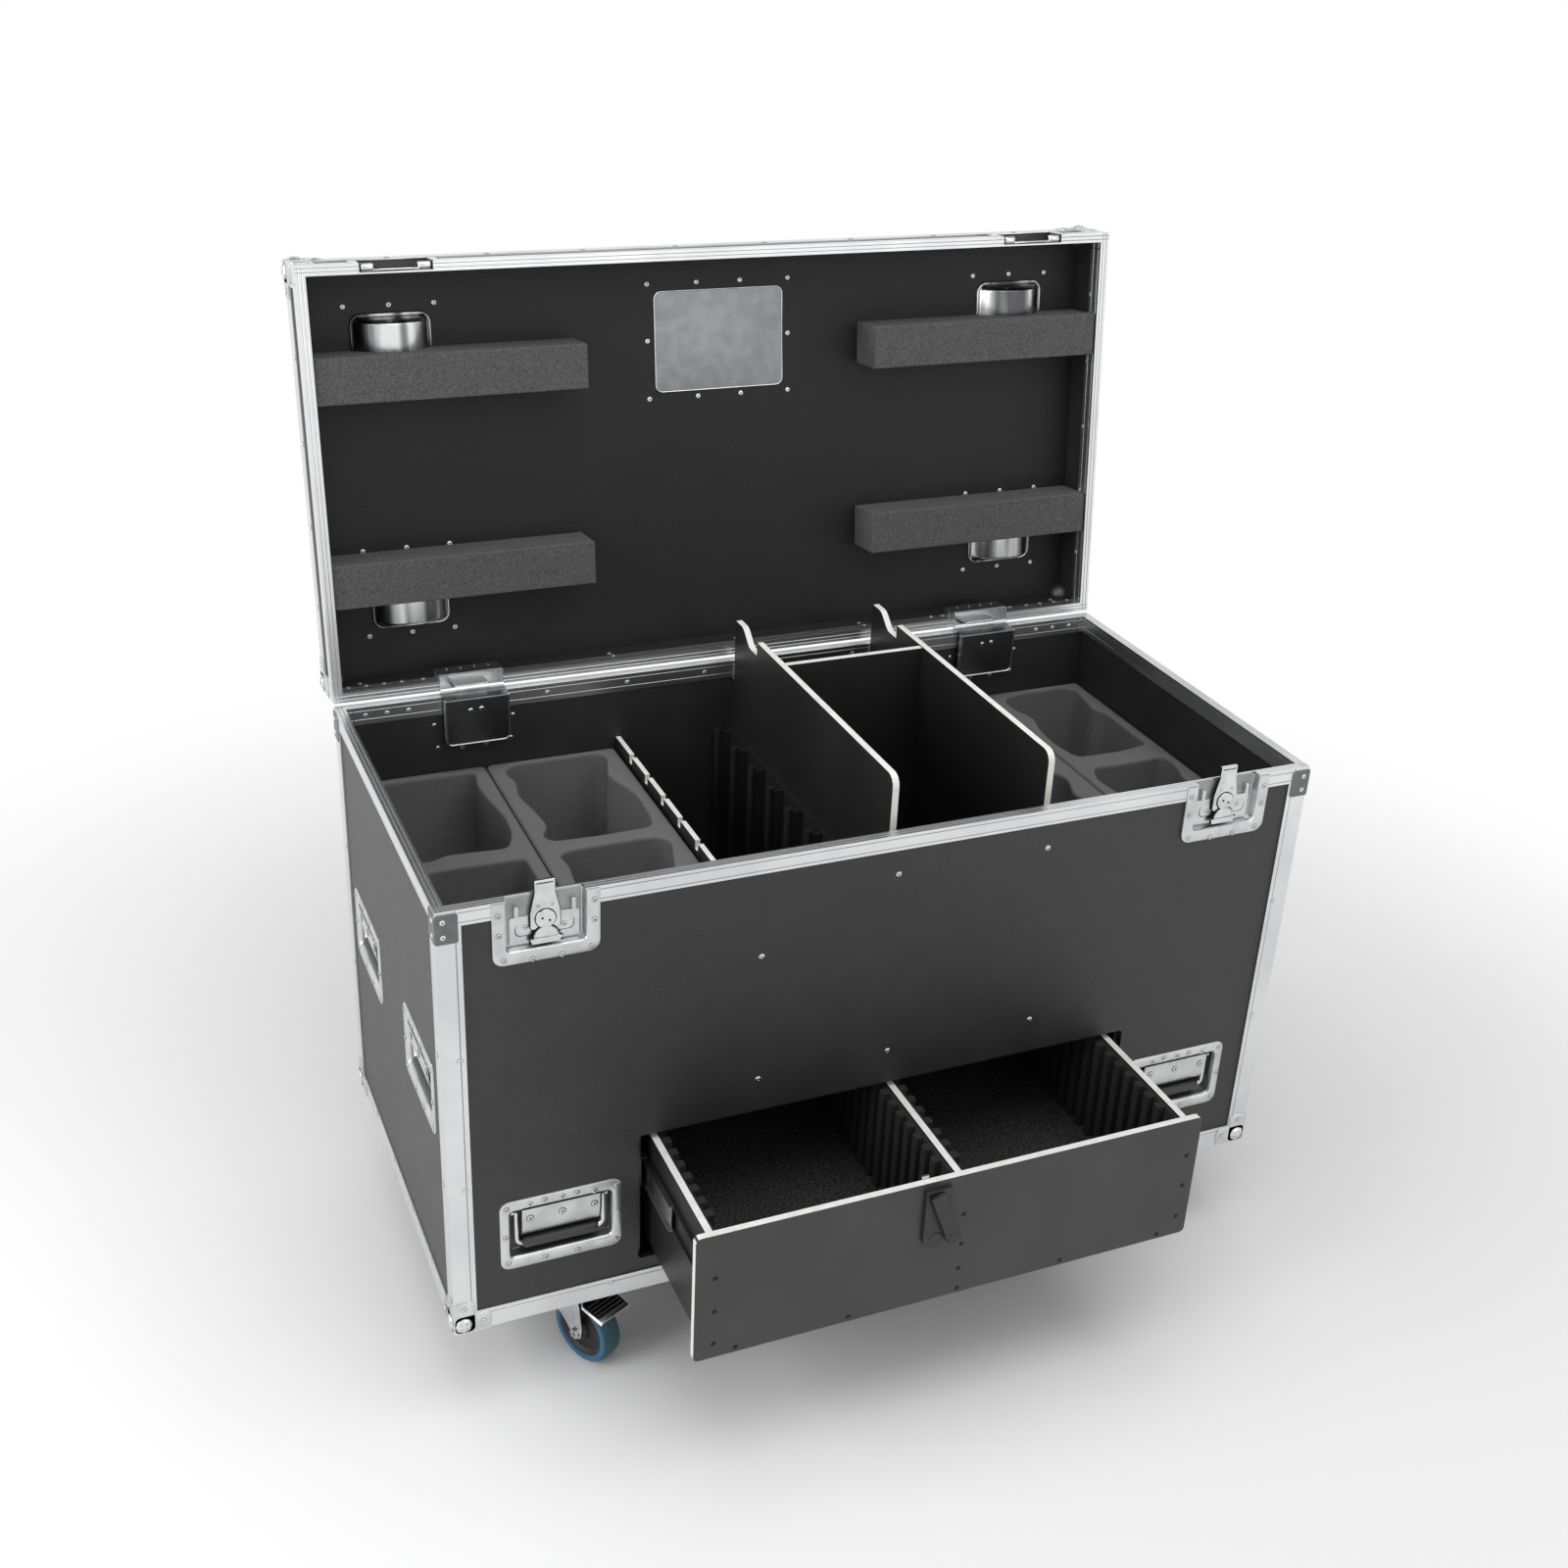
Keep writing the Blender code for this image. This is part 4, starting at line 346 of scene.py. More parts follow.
def plain(name, colour, rough, metallic=0.0, depth=0.0001, scale=500.0):
    """A moulded or coated finish with slight wear in its shine."""
    finish = Finish(name, colour, rough, metallic)
    cloud = finish.noise(55.0, 4.0)
    finish.colour(finish.mix(cloud.ramp(0.3, 0.8), colour, tint(colour, 1.3)))
    finish.rough(rough + cloud * 0.14 - 0.07)
    finish.bump(finish.noise(scale, 3.0), depth)
    return finish.material


def tyre_rubber(colour):
    """Elastic rubber, blue on the sidewalls and darker, with cloudy marks, round the tread."""
    finish = Finish("tyre_blue", colour, 0.5)
    cloud = finish.noise(70.0, 4.0)
    tread = tuple(part * share for part, share in zip(colour, (0.3, 0.4, 0.26)))
    dark_tread = finish.mix(cloud.ramp(0.3, 0.8), tread, tint(tread, 1.6))
    finish.colour(finish.mix(finish.shade(), colour, dark_tread))
    finish.rough(0.42 + cloud * 0.16)
    finish.bump(finish.noise(300.0, 3.0), 0.0003)
    return finish.material


# Surfaces


def unit(vectors):
    """The vectors at length 1."""
    return vectors / np.maximum(np.linalg.norm(vectors, axis=-1, keepdims=True), 1e-9)


def around(count):
    """Even angles round a full turn."""
    return np.linspace(0, 2 * math.pi, count, endpoint=False)


def surface(points, wrap=True, caps=(True, True)):
    """Quads between the neighbours in a grid of points (rows, columns, 3); a cap closes an end row."""
    points = np.asarray(points, float)
    rows, columns = points.shape[:2]
    row = np.arange(rows - 1)[:, None] * columns
    column = np.arange(columns if wrap else columns - 1)[None, :]
    after = (column + 1) % columns
    quads = np.stack([row + column, row + after, row + columns + after, row + columns + column], -1)
    faces = quads.reshape(-1, 4).tolist()
    if caps[0]:
        faces.append(list(range(columns))[::-1])
    if caps[1]:
        faces.append([(rows - 1) * columns + here for here in range(columns)])
    return points.reshape(-1, points.shape[-1]), faces


def joined(rows):
    """A grid whose rows run on from the last to the first."""
    return surface(np.concatenate([rows, rows[:1]]), True, (False, False))


def merged(*shapes):
    """Several shapes as one; a shape without shades gets 0."""
    points, faces, start = [], [], 0
    width = max(verts.shape[1] for verts, _ in shapes)
    for verts, polygons in shapes:
        points.append(np.pad(verts, ((0, 0), (0, width - verts.shape[1]))))
        faces += [[start + here for here in polygon] for polygon in polygons]
        start += len(verts)
    return np.concatenate(points), faces


def shaded(shape, level=1.0):
    """The shape with a shade for each point, from 0 for clean metal to 1 for painted shade in a dark seam or
    hollow, or for a dark part such as the pedal's tread.
    """
    verts = np.asarray(shape[0], float)
    return np.column_stack([verts[:, :3], np.broadcast_to(level, len(verts))]), shape[1]


def about(axis, angle):
    """The matrix of a turn about an axis, 0 to 2."""
    first, second = (axis + 1) % 3, (axis + 2) % 3
    matrix = np.eye(3)
    matrix[first, first] = matrix[second, second] = math.cos(angle)
    matrix[second, first] = math.sin(angle)
    matrix[first, second] = -math.sin(angle)
    return matrix


def placed(shape, location=(0, 0, 0), turn=0.0, matrix=None):
    """The shape turned about Z, or by a 3 by 3 matrix, and then moved."""
    verts = np.array(shape[0], float)
    matrix = about(2, turn) if matrix is None else matrix
    verts[:, :3] = verts[:, :3] @ matrix.T + np.asarray(location)
    return verts, shape[1]


def opened(shape):
    """A lid shape, given with the lid shut, turned open about the hinge axis."""
    axis = np.array([0, HINGE_Y, HINGE_Z])
    return placed(placed(shape, -axis), axis, matrix=about(0, -LID_OPEN))


def make(name, shape, material, body, replaces=(), sharp=38.0):
    """A finished piece that rides on a body, with every face turned outwards."""
    mesh = bpy.data.meshes.new(name)
    verts = np.asarray(shape[0], float)
    mesh.from_pydata(verts[:, :3].tolist(), [], shape[1])
    if verts.shape[1] > 3:
        mesh.attributes.new("shade", "FLOAT", "POINT").data.foreach_set("value", verts[:, 3])
    mesh.validate()
    form = bmesh.new()
    form.from_mesh(mesh)
    bmesh.ops.recalc_face_normals(form, faces=form.faces)
    form.to_mesh(mesh)
    form.free()
    mesh.shade_smooth()
    mesh.set_sharp_from_angle(angle=math.radians(sharp))
    mesh.materials.append(material)
    item = bpy.data.objects.new(name, mesh)
    bpy.context.scene.collection.objects.link(item)
    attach(item, body)
    if replaces:
        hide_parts(*replaces)
    return item


def rounded_loop(width, height, radius, arc=6, side=2, centre=(0.0, 0.0)):
    """Points round a rectangle with arc corners, centre + r (cos a, sin a), and straight sides."""
    radius = max(min(radius, width / 2 - 1e-5, height / 2 - 1e-5), 1e-5)
    points = []
    for number, (across, up) in enumerate(((1, -1), (1, 1), (-1, 1), (-1, -1))):
        angle = np.linspace(0, math.pi / 2, arc) + (number - 1) * math.pi / 2
        middle = np.array([across * (width / 2 - radius), up * (height / 2 - radius)])
        points.append(middle + radius * np.stack([np.cos(angle), np.sin(angle)], -1))
    share = np.linspace(0, 1, side + 2)[1:-1, None]
    loop = []
    for here, after in zip(points, points[1:] + points[:1]):
        loop += [here, here[-1] * (1 - share) + after[0] * share]
    return np.concatenate(loop) + np.asarray(centre)


def level_loop(loop, level, *shade):
    """A loop in X and Y at a level, with its shade if one is given."""
    return np.column_stack([loop, *(np.broadcast_to(part, len(loop)) for part in (level, *shade))])


def upright_loop(loop, depth):
    """A loop in X and Z at a depth along Y."""
    return np.stack([loop[:, 0], np.full(len(loop), depth), loop[:, 1]], -1)


def plate(outline, low, high, bevel=0.0004):
    """An outline in X and Z carried along Y from low to high; its end loops are pulled in by the bevel."""
    outline = np.asarray(outline, float)
    middle = outline.mean(0)
    away = outline - middle
    length = np.linalg.norm(away, axis=1, keepdims=True)
    inner = middle + away * (1 - bevel / np.maximum(length, bevel))
    step = math.copysign(bevel, high - low)
    rows = ((inner, low), (outline, low + step), (outline, high - step), (inner, high))
    return surface([upright_loop(*row) for row in rows])


def pad(width, height, radius, centre, low, high, bevel=0.0004, arc=3):
    """A plate with a rounded rectangle as its outline."""
    return plate(rounded_loop(width, height, radius, arc, 0, centre), low, high, bevel)


def tube(path, radius, count=12):
    """A round section carried along a path; each ring lies square to the path's direction there."""
    path = np.asarray(path, float)
    ahead = unit(np.gradient(path, axis=0))
    across = unit(np.cross(ahead, (0.0, 1.0, 0.0)))
    other = np.cross(ahead, across)
    angle = around(count)[:, None]
    ring = across[:, None] * np.cos(angle) + other[:, None] * np.sin(angle)
    return surface(path[:, None] + ring * np.broadcast_to(radius, len(path))[:, None, None])


def hoop(path, radius, count=8):
    """A round section round a closed level path; its rings stand on the path's sideways direction and Z."""
    ahead = unit(np.roll(path, -1, 0) - np.roll(path, 1, 0))
    across = np.stack([ahead[:, 1], -ahead[:, 0], np.zeros(len(ahead))], -1)
    angle = around(count)[:, None]
    ring = across[:, None] * np.cos(angle) + np.array([0.0, 0.0, 1.0]) * np.sin(angle)
    return joined(path[:, None] + radius * ring)


def spun(profile, count, axis="Y"):
    """A profile of (radius, along) turned round an axis: (r cos a, along, r sin a)."""
    profile = np.asarray(profile, float)
    angle = around(count)
    radius, along = profile[:, :1], np.broadcast_to(profile[:, 1:], (len(profile), count))
    first, second = radius * np.cos(angle), radius * np.sin(angle)
    return surface(np.stack([first, along, second] if axis == "Y" else [first, second, along], -1))


def turned_ring(profile, count):
    """A closed profile of (radius, along) turned round Y with no ends to cap."""
    profile = np.asarray(profile, float)
    angle = around(count)[:, None]
    radius, along = profile[:, 0], np.broadcast_to(profile[:, 1], (count, len(profile)))
    return joined(np.stack([radius * np.cos(angle), along, radius * np.sin(angle)], -1))


def block(low, high, radius=0.0008):
    """A box whose upright corners are arcs and whose ends are eased by the same radius."""
    low, high = np.minimum(low, high), np.maximum(low, high)
    width, length = (high - low)[:2]
    rows = []
    for inset, level in ((radius, low[2]), (0, low[2] + radius), (0, high[2] - radius), (radius, high[2])):
        corner = max(radius - inset * 0.5, 1e-4)
        loop = rounded_loop(width - 2 * inset, length - 2 * inset, corner, 3, 0, (low + high)[:2] / 2)
        rows.append(level_loop(loop, level))
    return surface(rows)


def rivets(places, normals, radius=0.0036, height=0.0013, count=9):
    """Blind rivets: rings of a dished head over each place, square to its normal; edge and core are dark
    with painted shade.
    """
    places = np.asarray(places, float).reshape(-1, 3)
    normals = np.broadcast_to(np.asarray(normals, float), places.shape)
    guide = np.where(np.abs(normals[:, 2:3]) < 0.9, [[0.0, 0.0, 1.0]], [[1.0, 0.0, 0.0]])
    first = unit(np.cross(guide, normals))
    second = np.cross(normals, first)
    share = np.array([1.14, 1.1, 0.96, 0.62, 0.36, 0.28])[:, None, None]
    rise = np.array([-0.6, 0.1, 0.4, 0.98, 0.96, 0.58])[:, None, None]
    # Painted shade: the ring at the foot and the hollow core take a shade of 1.
    shade = np.repeat([1.0, 1.0, 0.35, 0.0, 0.0, 1.0], count)
    angle = around(count)[:, None]
    heads = []
    for place, normal, across, up in zip(places, normals, first, second):
        ring = across * np.cos(angle) + up * np.sin(angle)
        heads.append(shaded(surface(place + ring * radius * share + normal * height * rise), shade))
    return merged(*heads)


def filled(walls, both):
    """Upright walls whose last rows have the plane between them filled, and the first rows too if both."""
    form = bmesh.new()
    rings = ([], [])
    for rows in walls:
        points, faces = surface(rows, True, (not both, False))
        made = [form.verts.new(point) for point in points]
        for face in faces:
            form.faces.new([made[here] for here in face])
        rings[0].append(made[-len(rows[0]) :])
        rings[1].append(made[: len(rows[0])])
    for level in rings[: 1 + both]:
        edges = [form.edges.get(pair) for ring in level for pair in zip(ring, ring[1:] + ring[:1])]
        bmesh.ops.triangle_fill(form, use_beauty=True, use_dissolve=False, edges=edges, normal=(0, 0, 1))
    form.verts.index_update()
    verts = np.array([vert.co[:] for vert in form.verts])
    faces = [[vert.index for vert in face.verts] for face in form.faces]
    form.free()
    return verts, faces


# Settings


class CaseSettings(bpy.types.PropertyGroup):
    """Sizes and colours of the case that a user may change."""

    laminate_colour: FloatVectorProperty(
        name="Laminate", description="Colour of the outer boards",
        subtype="COLOR", default=(0.014, 0.014, 0.0145),
    )
    foam_colour: FloatVectorProperty(
        name="Insert foam", description="Colour of the foam inserts",
        subtype="COLOR", default=(0.125, 0.125, 0.128),
    )
    bar_colour: FloatVectorProperty(
        name="Lid foam", description="Colour of the lid's foam bars",
        subtype="COLOR", default=(0.08, 0.08, 0.08),
    )
    tyre_colour: FloatVectorProperty(
        name="Tyre", description="Colour of the castor tyres",
        subtype="COLOR", default=(0.026, 0.12, 0.23),
    )
    rivet_radius: FloatProperty(
        name="Rivet radius", description="Radius of a rivet head",
        default=0.0036, unit="LENGTH", subtype="DISTANCE",
    )
    sheet: FloatProperty(
        name="Sheet", description="Thickness of pressed steel",
        default=0.0012, unit="LENGTH", subtype="DISTANCE",
    )
    roundness: IntProperty(
        name="Roundness", description="Points round a turned piece", default=40, min=12, max=96
    )


def settings():
    return bpy.context.scene.flight_case


# Shared finishes are made once
SHARED = {}


def shared(maker, name, *arguments):
    if name not in SHARED:
        SHARED[name] = maker(name, *arguments)
    return SHARED[name]


def bright():
    return shared(steel, "zinc_steel")


def dish_steel():
    return shared(steel, "dish_steel", (0.66, 0.665, 0.67), 0.26)


def rivet_metal():
    """Pale plated heads that stay bright on the dark boards."""
    return shared(steel, "rivet_metal", (0.88, 0.885, 0.89), 0.42)


def paint(material, *nodes):
    """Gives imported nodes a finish."""
    for name in nodes:
        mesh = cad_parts[name].data
        if mesh.materials:
            mesh.materials[0] = material
        else:
            mesh.materials.append(material)


# Pieces


class CASE_OT_frame(bpy.types.Operator):
    """Finish the aluminium extrusions"""

    bl_idname = "case.frame"
    bl_label = "Extrusions"

    def execute(self, context):
        paint(aluminium("aluminium"), "case_frame", "rear_rim")
        paint(aluminium("aluminium_lid", lid=True), "lid_frame")
        return {"FINISHED"}


class CASE_OT_boards(bpy.types.Operator):
    """Finish the boards inside and outside"""

    bl_idname = "case.boards"
    bl_label = "Boards"

    def execute(self, context):
        outside = laminate("laminate", tuple(settings().laminate_colour))
        paint(outside, "front_panel", "back_panel", "left_panel", "right_panel", "lid_walls")
        paint(film_board("plain_film"), "base_panel", "drawer_bay")

        def bin_film(finish):
            x, y, _ = finish.place()
            face_x, face_y, _ = finish.facing()
            cross = (face_y > 0.7) * (abs(y - 0.1125) < 0.006) * (abs(x - 0.1015) < 0.108)
            return ((face_x > 0.7) + cross).math("MINIMUM", 1.0)

        def upright_film(finish):
            return finish.facing()[0] > 0.7

        def box_film(finish):
            return 1 - (finish.facing()[2] > 0.7) * (finish.place()[2] > 0.237)

        def front_film(finish):
            x, _, z = finish.place()
            inside = (z < 0.2405) * (z > 0.0515) * (abs(x - 0.002) < 0.3536)
            return ((finish.facing()[1] > 0.7) + inside).math("MINIMUM", 1.0)

        paint(film_board("bin_board", bin_film), "centre_bin")
        paint(film_board("slotted_board", upright_film), "slot_panel")
        paint(film_board("drawer_board", box_film), "drawer_box")
        paint(film_board("drawer_front_board", front_film, (0.03, 0.03, 0.031)), "drawer_front")
        paint(plain("rail_plastic", (0.012, 0.012, 0.012), 0.45), "finger_rail")
        return {"FINISHED"}


class CASE_OT_small_metal(bpy.types.Operator):
    """Finish the runners, bolt and other plain metal nodes"""

    bl_idname = "case.small_metal"
    bl_label = "Runners and bolt"

    def execute(self, context):
        paint(bright(), "runner_middle_left", "runner_middle_right", "drawer_latch_bolt")
        return {"FINISHED"}


def corner_shape(corner, inward, dark):
    """A ball of radius r on the corner with rounded flanges over each edge, two to an axis."""
    radius = 0.0174
    corner, inward = np.asarray(corner), np.asarray(inward)
    share = np.linspace(0.02, math.pi - 0.02, 15)
    ball = spun(np.stack([radius * np.sin(share), -radius * np.cos(share)], -1), 28, "Z")
    # Painted reflection: the ball is darkened by the given level, for the dark surroundings it mirrors.
    shapes = [shaded(placed(ball, corner + inward * 0.012), dark)]
    for axis in range(3):
        for long in (other for other in (2, 1, 0) if other != axis):
            rows = []
            for inset, level in ((0.0, 0.001), (0.0, -0.0011), (0.0009, -0.0018)):
                part = rounded_loop(0.048 - 2 * inset, 0.0275 - 2 * inset, 0.007, 5, 0, (0.024, 0.01375))
                points = np.full((len(part), 3), level)
                points[:, long], points[:, axis] = part.T
                rows.append(points * inward + corner)
            shapes.append(surface(rows))
    return merged(*shapes)


class CASE_OT_corners(bpy.types.Operator):
    """Make the pressed ball corners and the rim braces"""

    bl_idname = "case.corners"
    bl_label = "Ball corners"

    def execute(self, context):
        low, high, braces = [], [], []
        for x, y in CORNERS:
            # The lid's balls take more painted reflection (0.85) than the body's (0.35).
            low.append(corner_shape((x * HALF_X, y * HALF_Y, 0), (-x, -y, 1), 0.35))
            high.append(corner_shape((x * HALF_X, y * HALF_Y, LID_TOP), (-x, -y, -1), 0.85))
            size, across, level = (0.0277, 0.0392, 0.003), x * (HALF_X - 0.01265), HEIGHT - 0.0235
            braces.append(pad(*size, (across, level), y * HALF_Y, y * (HALF_Y + 0.0015), arc=4))
            slab = pad(*size, (0.0, level), 0.0, 0.0015, arc=4)
            braces.append(placed(slab, (x * HALF_X, y * (HALF_Y - 0.01265), 0), -x * math.pi / 2))
        make("body_ball_corners", merged(*low), bright(), "case", sharp=50)
        make("lid_ball_corners", opened(merged(*high)), bright(), "lid", sharp=50)
        brace = steel("brace_steel", (0.19, 0.192, 0.195), 0.34)
        make("rim_braces", merged(*braces), brace, "case")
        return {"FINISHED"}


def at_corners(*spots):
    """Each spot (x, y, z, axis of its normal) at the case's four corners, as places and normals."""
    places, normals = [], []
    for x, y, z, axis in spots:
        for side_x, side_y in CORNERS:
            places.append((side_x * x, side_y * y, z))
            normals.append(np.eye(3)[axis] * (side_x, side_y, 1))
    return places, normals


def frame_rivets():
    """Rivet places and normals on the body's extrusions."""
    spots = []
    for z in (0.224, 0.416):
        spots += [(HALF_X - 0.022, HALF_Y, z, 1), (HALF_X, HALF_Y - 0.022, z, 0)]
    for share in (1, 1 / 3):
        spots += [(0.391 * share, HALF_Y, RIVET_INSET, 1), (HALF_X, 0.17 * share, RIVET_INSET, 0)]
    for z in (HEIGHT - 0.0135, HEIGHT - 0.0335):
        spots += [(HALF_X - 0.0085, HALF_Y + 0.0013, z, 1), (HALF_X + 0.0013, HALF_Y - 0.0085, z, 0)]
    for inset, z in ((0.038, 0.0135), (0.0135, 0.038)):
        spots += [(HALF_X - inset, HALF_Y + 0.0018, z, 1), (HALF_X + 0.0018, HALF_Y - inset, z, 0)]
    places, normals = at_corners(*spots)
    for across in (0.06, 0.18, 0.3, 0.5, 0.53, 0.56):
        places += [(side * across, HALF_Y - RIM_INSET, HEIGHT - 0.0125) for side in (-1, 1)]
    return places, normals + [FRONT] * (len(places) - len(normals))


def lid_rivets():
    """Rivet places and normals on the lid, given with the lid shut."""
    spots = []
    for share in (1, 5 / 7, 3 / 7, 1 / 7):
        across = 0.47 * share
        spots += [(across, HALF_Y - RIVET_INSET, LID_TOP, 2), (across, HALF_Y, LID_TOP - RIVET_INSET, 1)]
    for share in (1, 1 / 3):
        along = 0.17 * share
        spots += [(HALF_X - RIVET_INSET, along, LID_TOP, 2), (HALF_X, along, LID_TOP - RIVET_INSET, 0)]
    side_level, top_level = LID_TOP - 0.0135, LID_TOP + 0.0018
    across, along = HALF_X - 0.038, HALF_Y - 0.038
    spots += [(across, HALF_Y + 0.0018, side_level, 1), (HALF_X + 0.0018, along, side_level, 0)]
    spots += [(across, HALF_Y - 0.0135, top_level, 2), (HALF_X - 0.0135, along, top_level, 2)]
    places, normals = at_corners(*spots)
    rear = (
        -0.575, -0.55, -0.525, -0.5, -0.47, -0.19, 0.01, 0.215,
        0.33, 0.35, 0.47, 0.5, 0.525, 0.55, 0.575,
    )
    places += [(across, HALF_Y - RIM_INSET, LID_RIM + RIVET_INSET) for across in rear]
    places += [(across, HALF_Y - INSIDE, LID_RIM + 0.04) for across in (-0.555, -0.19, 0.01, 0.215, 0.555)]
    normals += [FRONT] * (len(places) - len(normals))
    for side in (-1, 1):
        face = side * (HALF_X - RIM_INSET)
        places += [(face, along, LID_RIM + RIVET_INSET) for along in (-0.2, -0.1, 0.0, 0.1, 0.2)]
        normals += [(-side, 0, 0)] * 5
    return places, normals


def screws(name, spots, face, radius, height, material, body):
    """Screw heads at places (x, z) on a face that looks to the front."""
    make(name, rivets([(x, face, z) for x, z in spots], FRONT, radius, height), material, body)


class CASE_OT_rivets(bpy.types.Operator):
    """Make the rivets of the body and the lid and the screws of the boards"""

    bl_idname = "case.rivets"
    bl_label = "Rivets"

    def execute(self, context):
        radius = settings().rivet_radius
        make("body_rivets", rivets(*frame_rivets(), radius), rivet_metal(), "case")
        make("lid_rivets", opened(rivets(*lid_rivets(), radius)), rivet_metal(), "lid")
        front = (
            (-0.0136, 0.5655), (0.2003, 0.5657), (-0.1957, 0.4818), (0.2031, 0.2999), (-0.0104, 0.2983),
            (-0.194, 0.2971),
        )
        screws("panel_screws", front, FACE, 0.0042, 0.0016, bright(), "case")
        drawer = (
            (-0.326, 0.175), (-0.326, 0.123), (-0.326, 0.072), (-0.297, 0.0575), (-0.144, 0.0575),
            (0.01, 0.0575), (0.009, 0.09), (0.01, 0.13), (0.009, 0.178), (0.341, 0.182), (0.342, 0.132),
            (0.34, 0.081), (0.313, 0.0575), (0.163, 0.0575),
        )
        dark = plain("screw_black", (0.01, 0.01, 0.011), 0.32, 0.6)
        screws("drawer_screws", drawer, DRAWER_FACE, 0.0034, 0.0009, dark, "drawer")
        return {"FINISHED"}


def latch_loop(inset, corner, top=HEIGHT - 0.002, width=0.131, low=HEIGHT - 0.086):
    """A U outline: straight sides down from the rim and two arc corners at the foot."""
    half, foot = width / 2 - inset, low + inset
    angle = np.linspace(0, math.pi / 2, 7)
    left = np.stack([-half + corner - corner * np.cos(angle), foot + corner - corner * np.sin(angle)], -1)
    right = np.stack([half - corner + corner * np.sin(angle), foot + corner - corner * np.cos(angle)], -1)
    return np.concatenate([[[-half, top]], left, right, [[half, top]]])


def latch_pan():
    """The pressed pan: a flange that steps down a rounded lip to a flat floor, along the U outline."""
    steps = (
        (0.0, 0.014, 0.0004), (0.0006, 0.0135, -0.0013), (0.0016, 0.0125, -0.0018),
        (0.0144, 0.007, -0.0018), (0.0164, 0.006, -0.0014), (0.0174, 0.0052, 0.0000),
        (0.0178, 0.0048, 0.0024), (0.0182, 0.0045, 0.0072), (0.0194, 0.0036, 0.0095),
        (0.0214, 0.0026, 0.01),
    )
    front = [upright_loop(latch_loop(inset, corner), depth - HALF_Y) for inset, corner, depth in steps]
    centre = front[-1].copy()
    centre[:, 0] = 0.0
    front = np.asarray([*front, centre])
    rows = np.concatenate([front[::-1], front + np.array([0, settings().sheet, 0])])
    points, faces = surface(rows, False, (False, False))
    count = front.shape[1]
    ends = [[row * count + column for row in range(len(rows))] for column in (0, count - 1)]
    return points, faces + ends


def latch_dish():
    """The latch's pan with the bracket, cheeks, stud and rivets on it; its floor and the seam behind the
    wings carry painted shade.
    """
    face = -HALF_Y
    flange_rivets = (
        (-0.0576, 0.6054), (-0.0573, 0.5791), (-0.0523, 0.545), (-0.0174, 0.5405), (0.0182, 0.54),
        (0.0541, 0.5448), (0.0579, 0.5803), (0.058, 0.6068),
    )
    wings = rounded_loop(0.07, 0.017, 0.006, 4, 0, (0.0, 0.5765))
    stud = spun([(0.0034, 0.0), (0.0034, -0.0028), (0.0028, -0.0032)], 20)
    parts = [
        latch_pan(),
        # Painted shade: the pan's floor is darkened to 0.45, and a dark sheet behind the wings outlines
        # them.
        shaded(plate(latch_loop(0.0196, 0.003), face + 0.0102, face + 0.0097), 0.45),
        pad(0.085, 0.037, 0.004, (0.0, 0.5755), face + 0.01, face + 0.0077, 0.0008, 4),
        shaded(plate(wings * (1.02, 1.0), face + 0.0079, face + 0.0075)),
        plate(wings + (0.0, 0.001), face + 0.0079, face + 0.0071),
        placed(stud, (0, face + 0.0104, LATCH_TURN_Z)),
        rivets([(x, face - 0.0018, z) for x, z in flange_rivets], FRONT),
    ]
    for edge, level in ((-1, 0.58), (1, 0.5765)):
        parts.append(rivets([(edge * 0.0232, face + 0.0071, level)], FRONT, 0.0034, 0.001))
        parts.append(pad(0.005, 0.015, 0.0015, (edge * 0.0345, 0.6025), face + 0.01, face + 0.004))
    return merged(*parts)


def latch_turn():
    """The drum with its two holes, and the folding half-round wing below it; a ring round the drum, sheets
    behind the wing and bar, and the holes are dark with painted shade.
    """
    face, level = -HALF_Y, LATCH_TURN_Z
    foot = level - 0.0245
    drum = [
        (0.0042, 0.0028), (0.0118, 0.0028), (0.0122, 0.0022), (0.0118, 0.0012), (0.0102, 0.0008),
        (0.0042, 0.0008),
    ]
    seam = [(0.0042, 0.003), (0.0132, 0.003), (0.0132, 0.0026), (0.0042, 0.0026)]
    bow = np.linspace(0, math.pi, 19)
    half = np.stack([np.cos(bow), np.sin(bow)], -1)
    rise = level - 0.011
    neck = np.array([[-0.0035, foot + 0.014], [0.0035, foot + 0.014], [0.0035, rise], [-0.0035, rise]])
    parts = [
        placed(spun(drum, 40), (0, face, level)),
        # Painted shade: the shaded ring, sheets and holes stand for the shade in the seams and holes.
        placed(shaded(spun(seam, 40)), (0, face, level)),
        shaded(plate(half * 0.0172 + (0.0, foot - 0.0004), face + 0.003, face + 0.0023)),
        plate(half * 0.0156 + (0.0, foot), face + 0.0026, face + 0.0012, 0.0022),
        plate(neck, face + 0.0027, face + 0.0014),
        shaded(pad(0.041, 0.0088, 0.0012, (0.0, foot - 0.0032), face + 0.003, face + 0.0022, arc=4)),
        pad(0.0385, 0.0034, 0.001, (0.0, foot - 0.0012), face + 0.0026, face - 0.001, arc=4),
        pad(0.035, 0.004, 0.001, (0.0, foot - 0.0056), face + 0.0028, face + 0.0012, arc=4),
    ]
    for across, up in ((-0.0042, 0.0016), (0.0046, -0.0022)):
        hole = spun([(0.0014, 0.0009), (0.0014, 0.0003), (0.0004, 0.0003)], 14)
        parts.append(placed(shaded(hole), (across, face + 0.0001, level + up)))
    return merged(*parts)


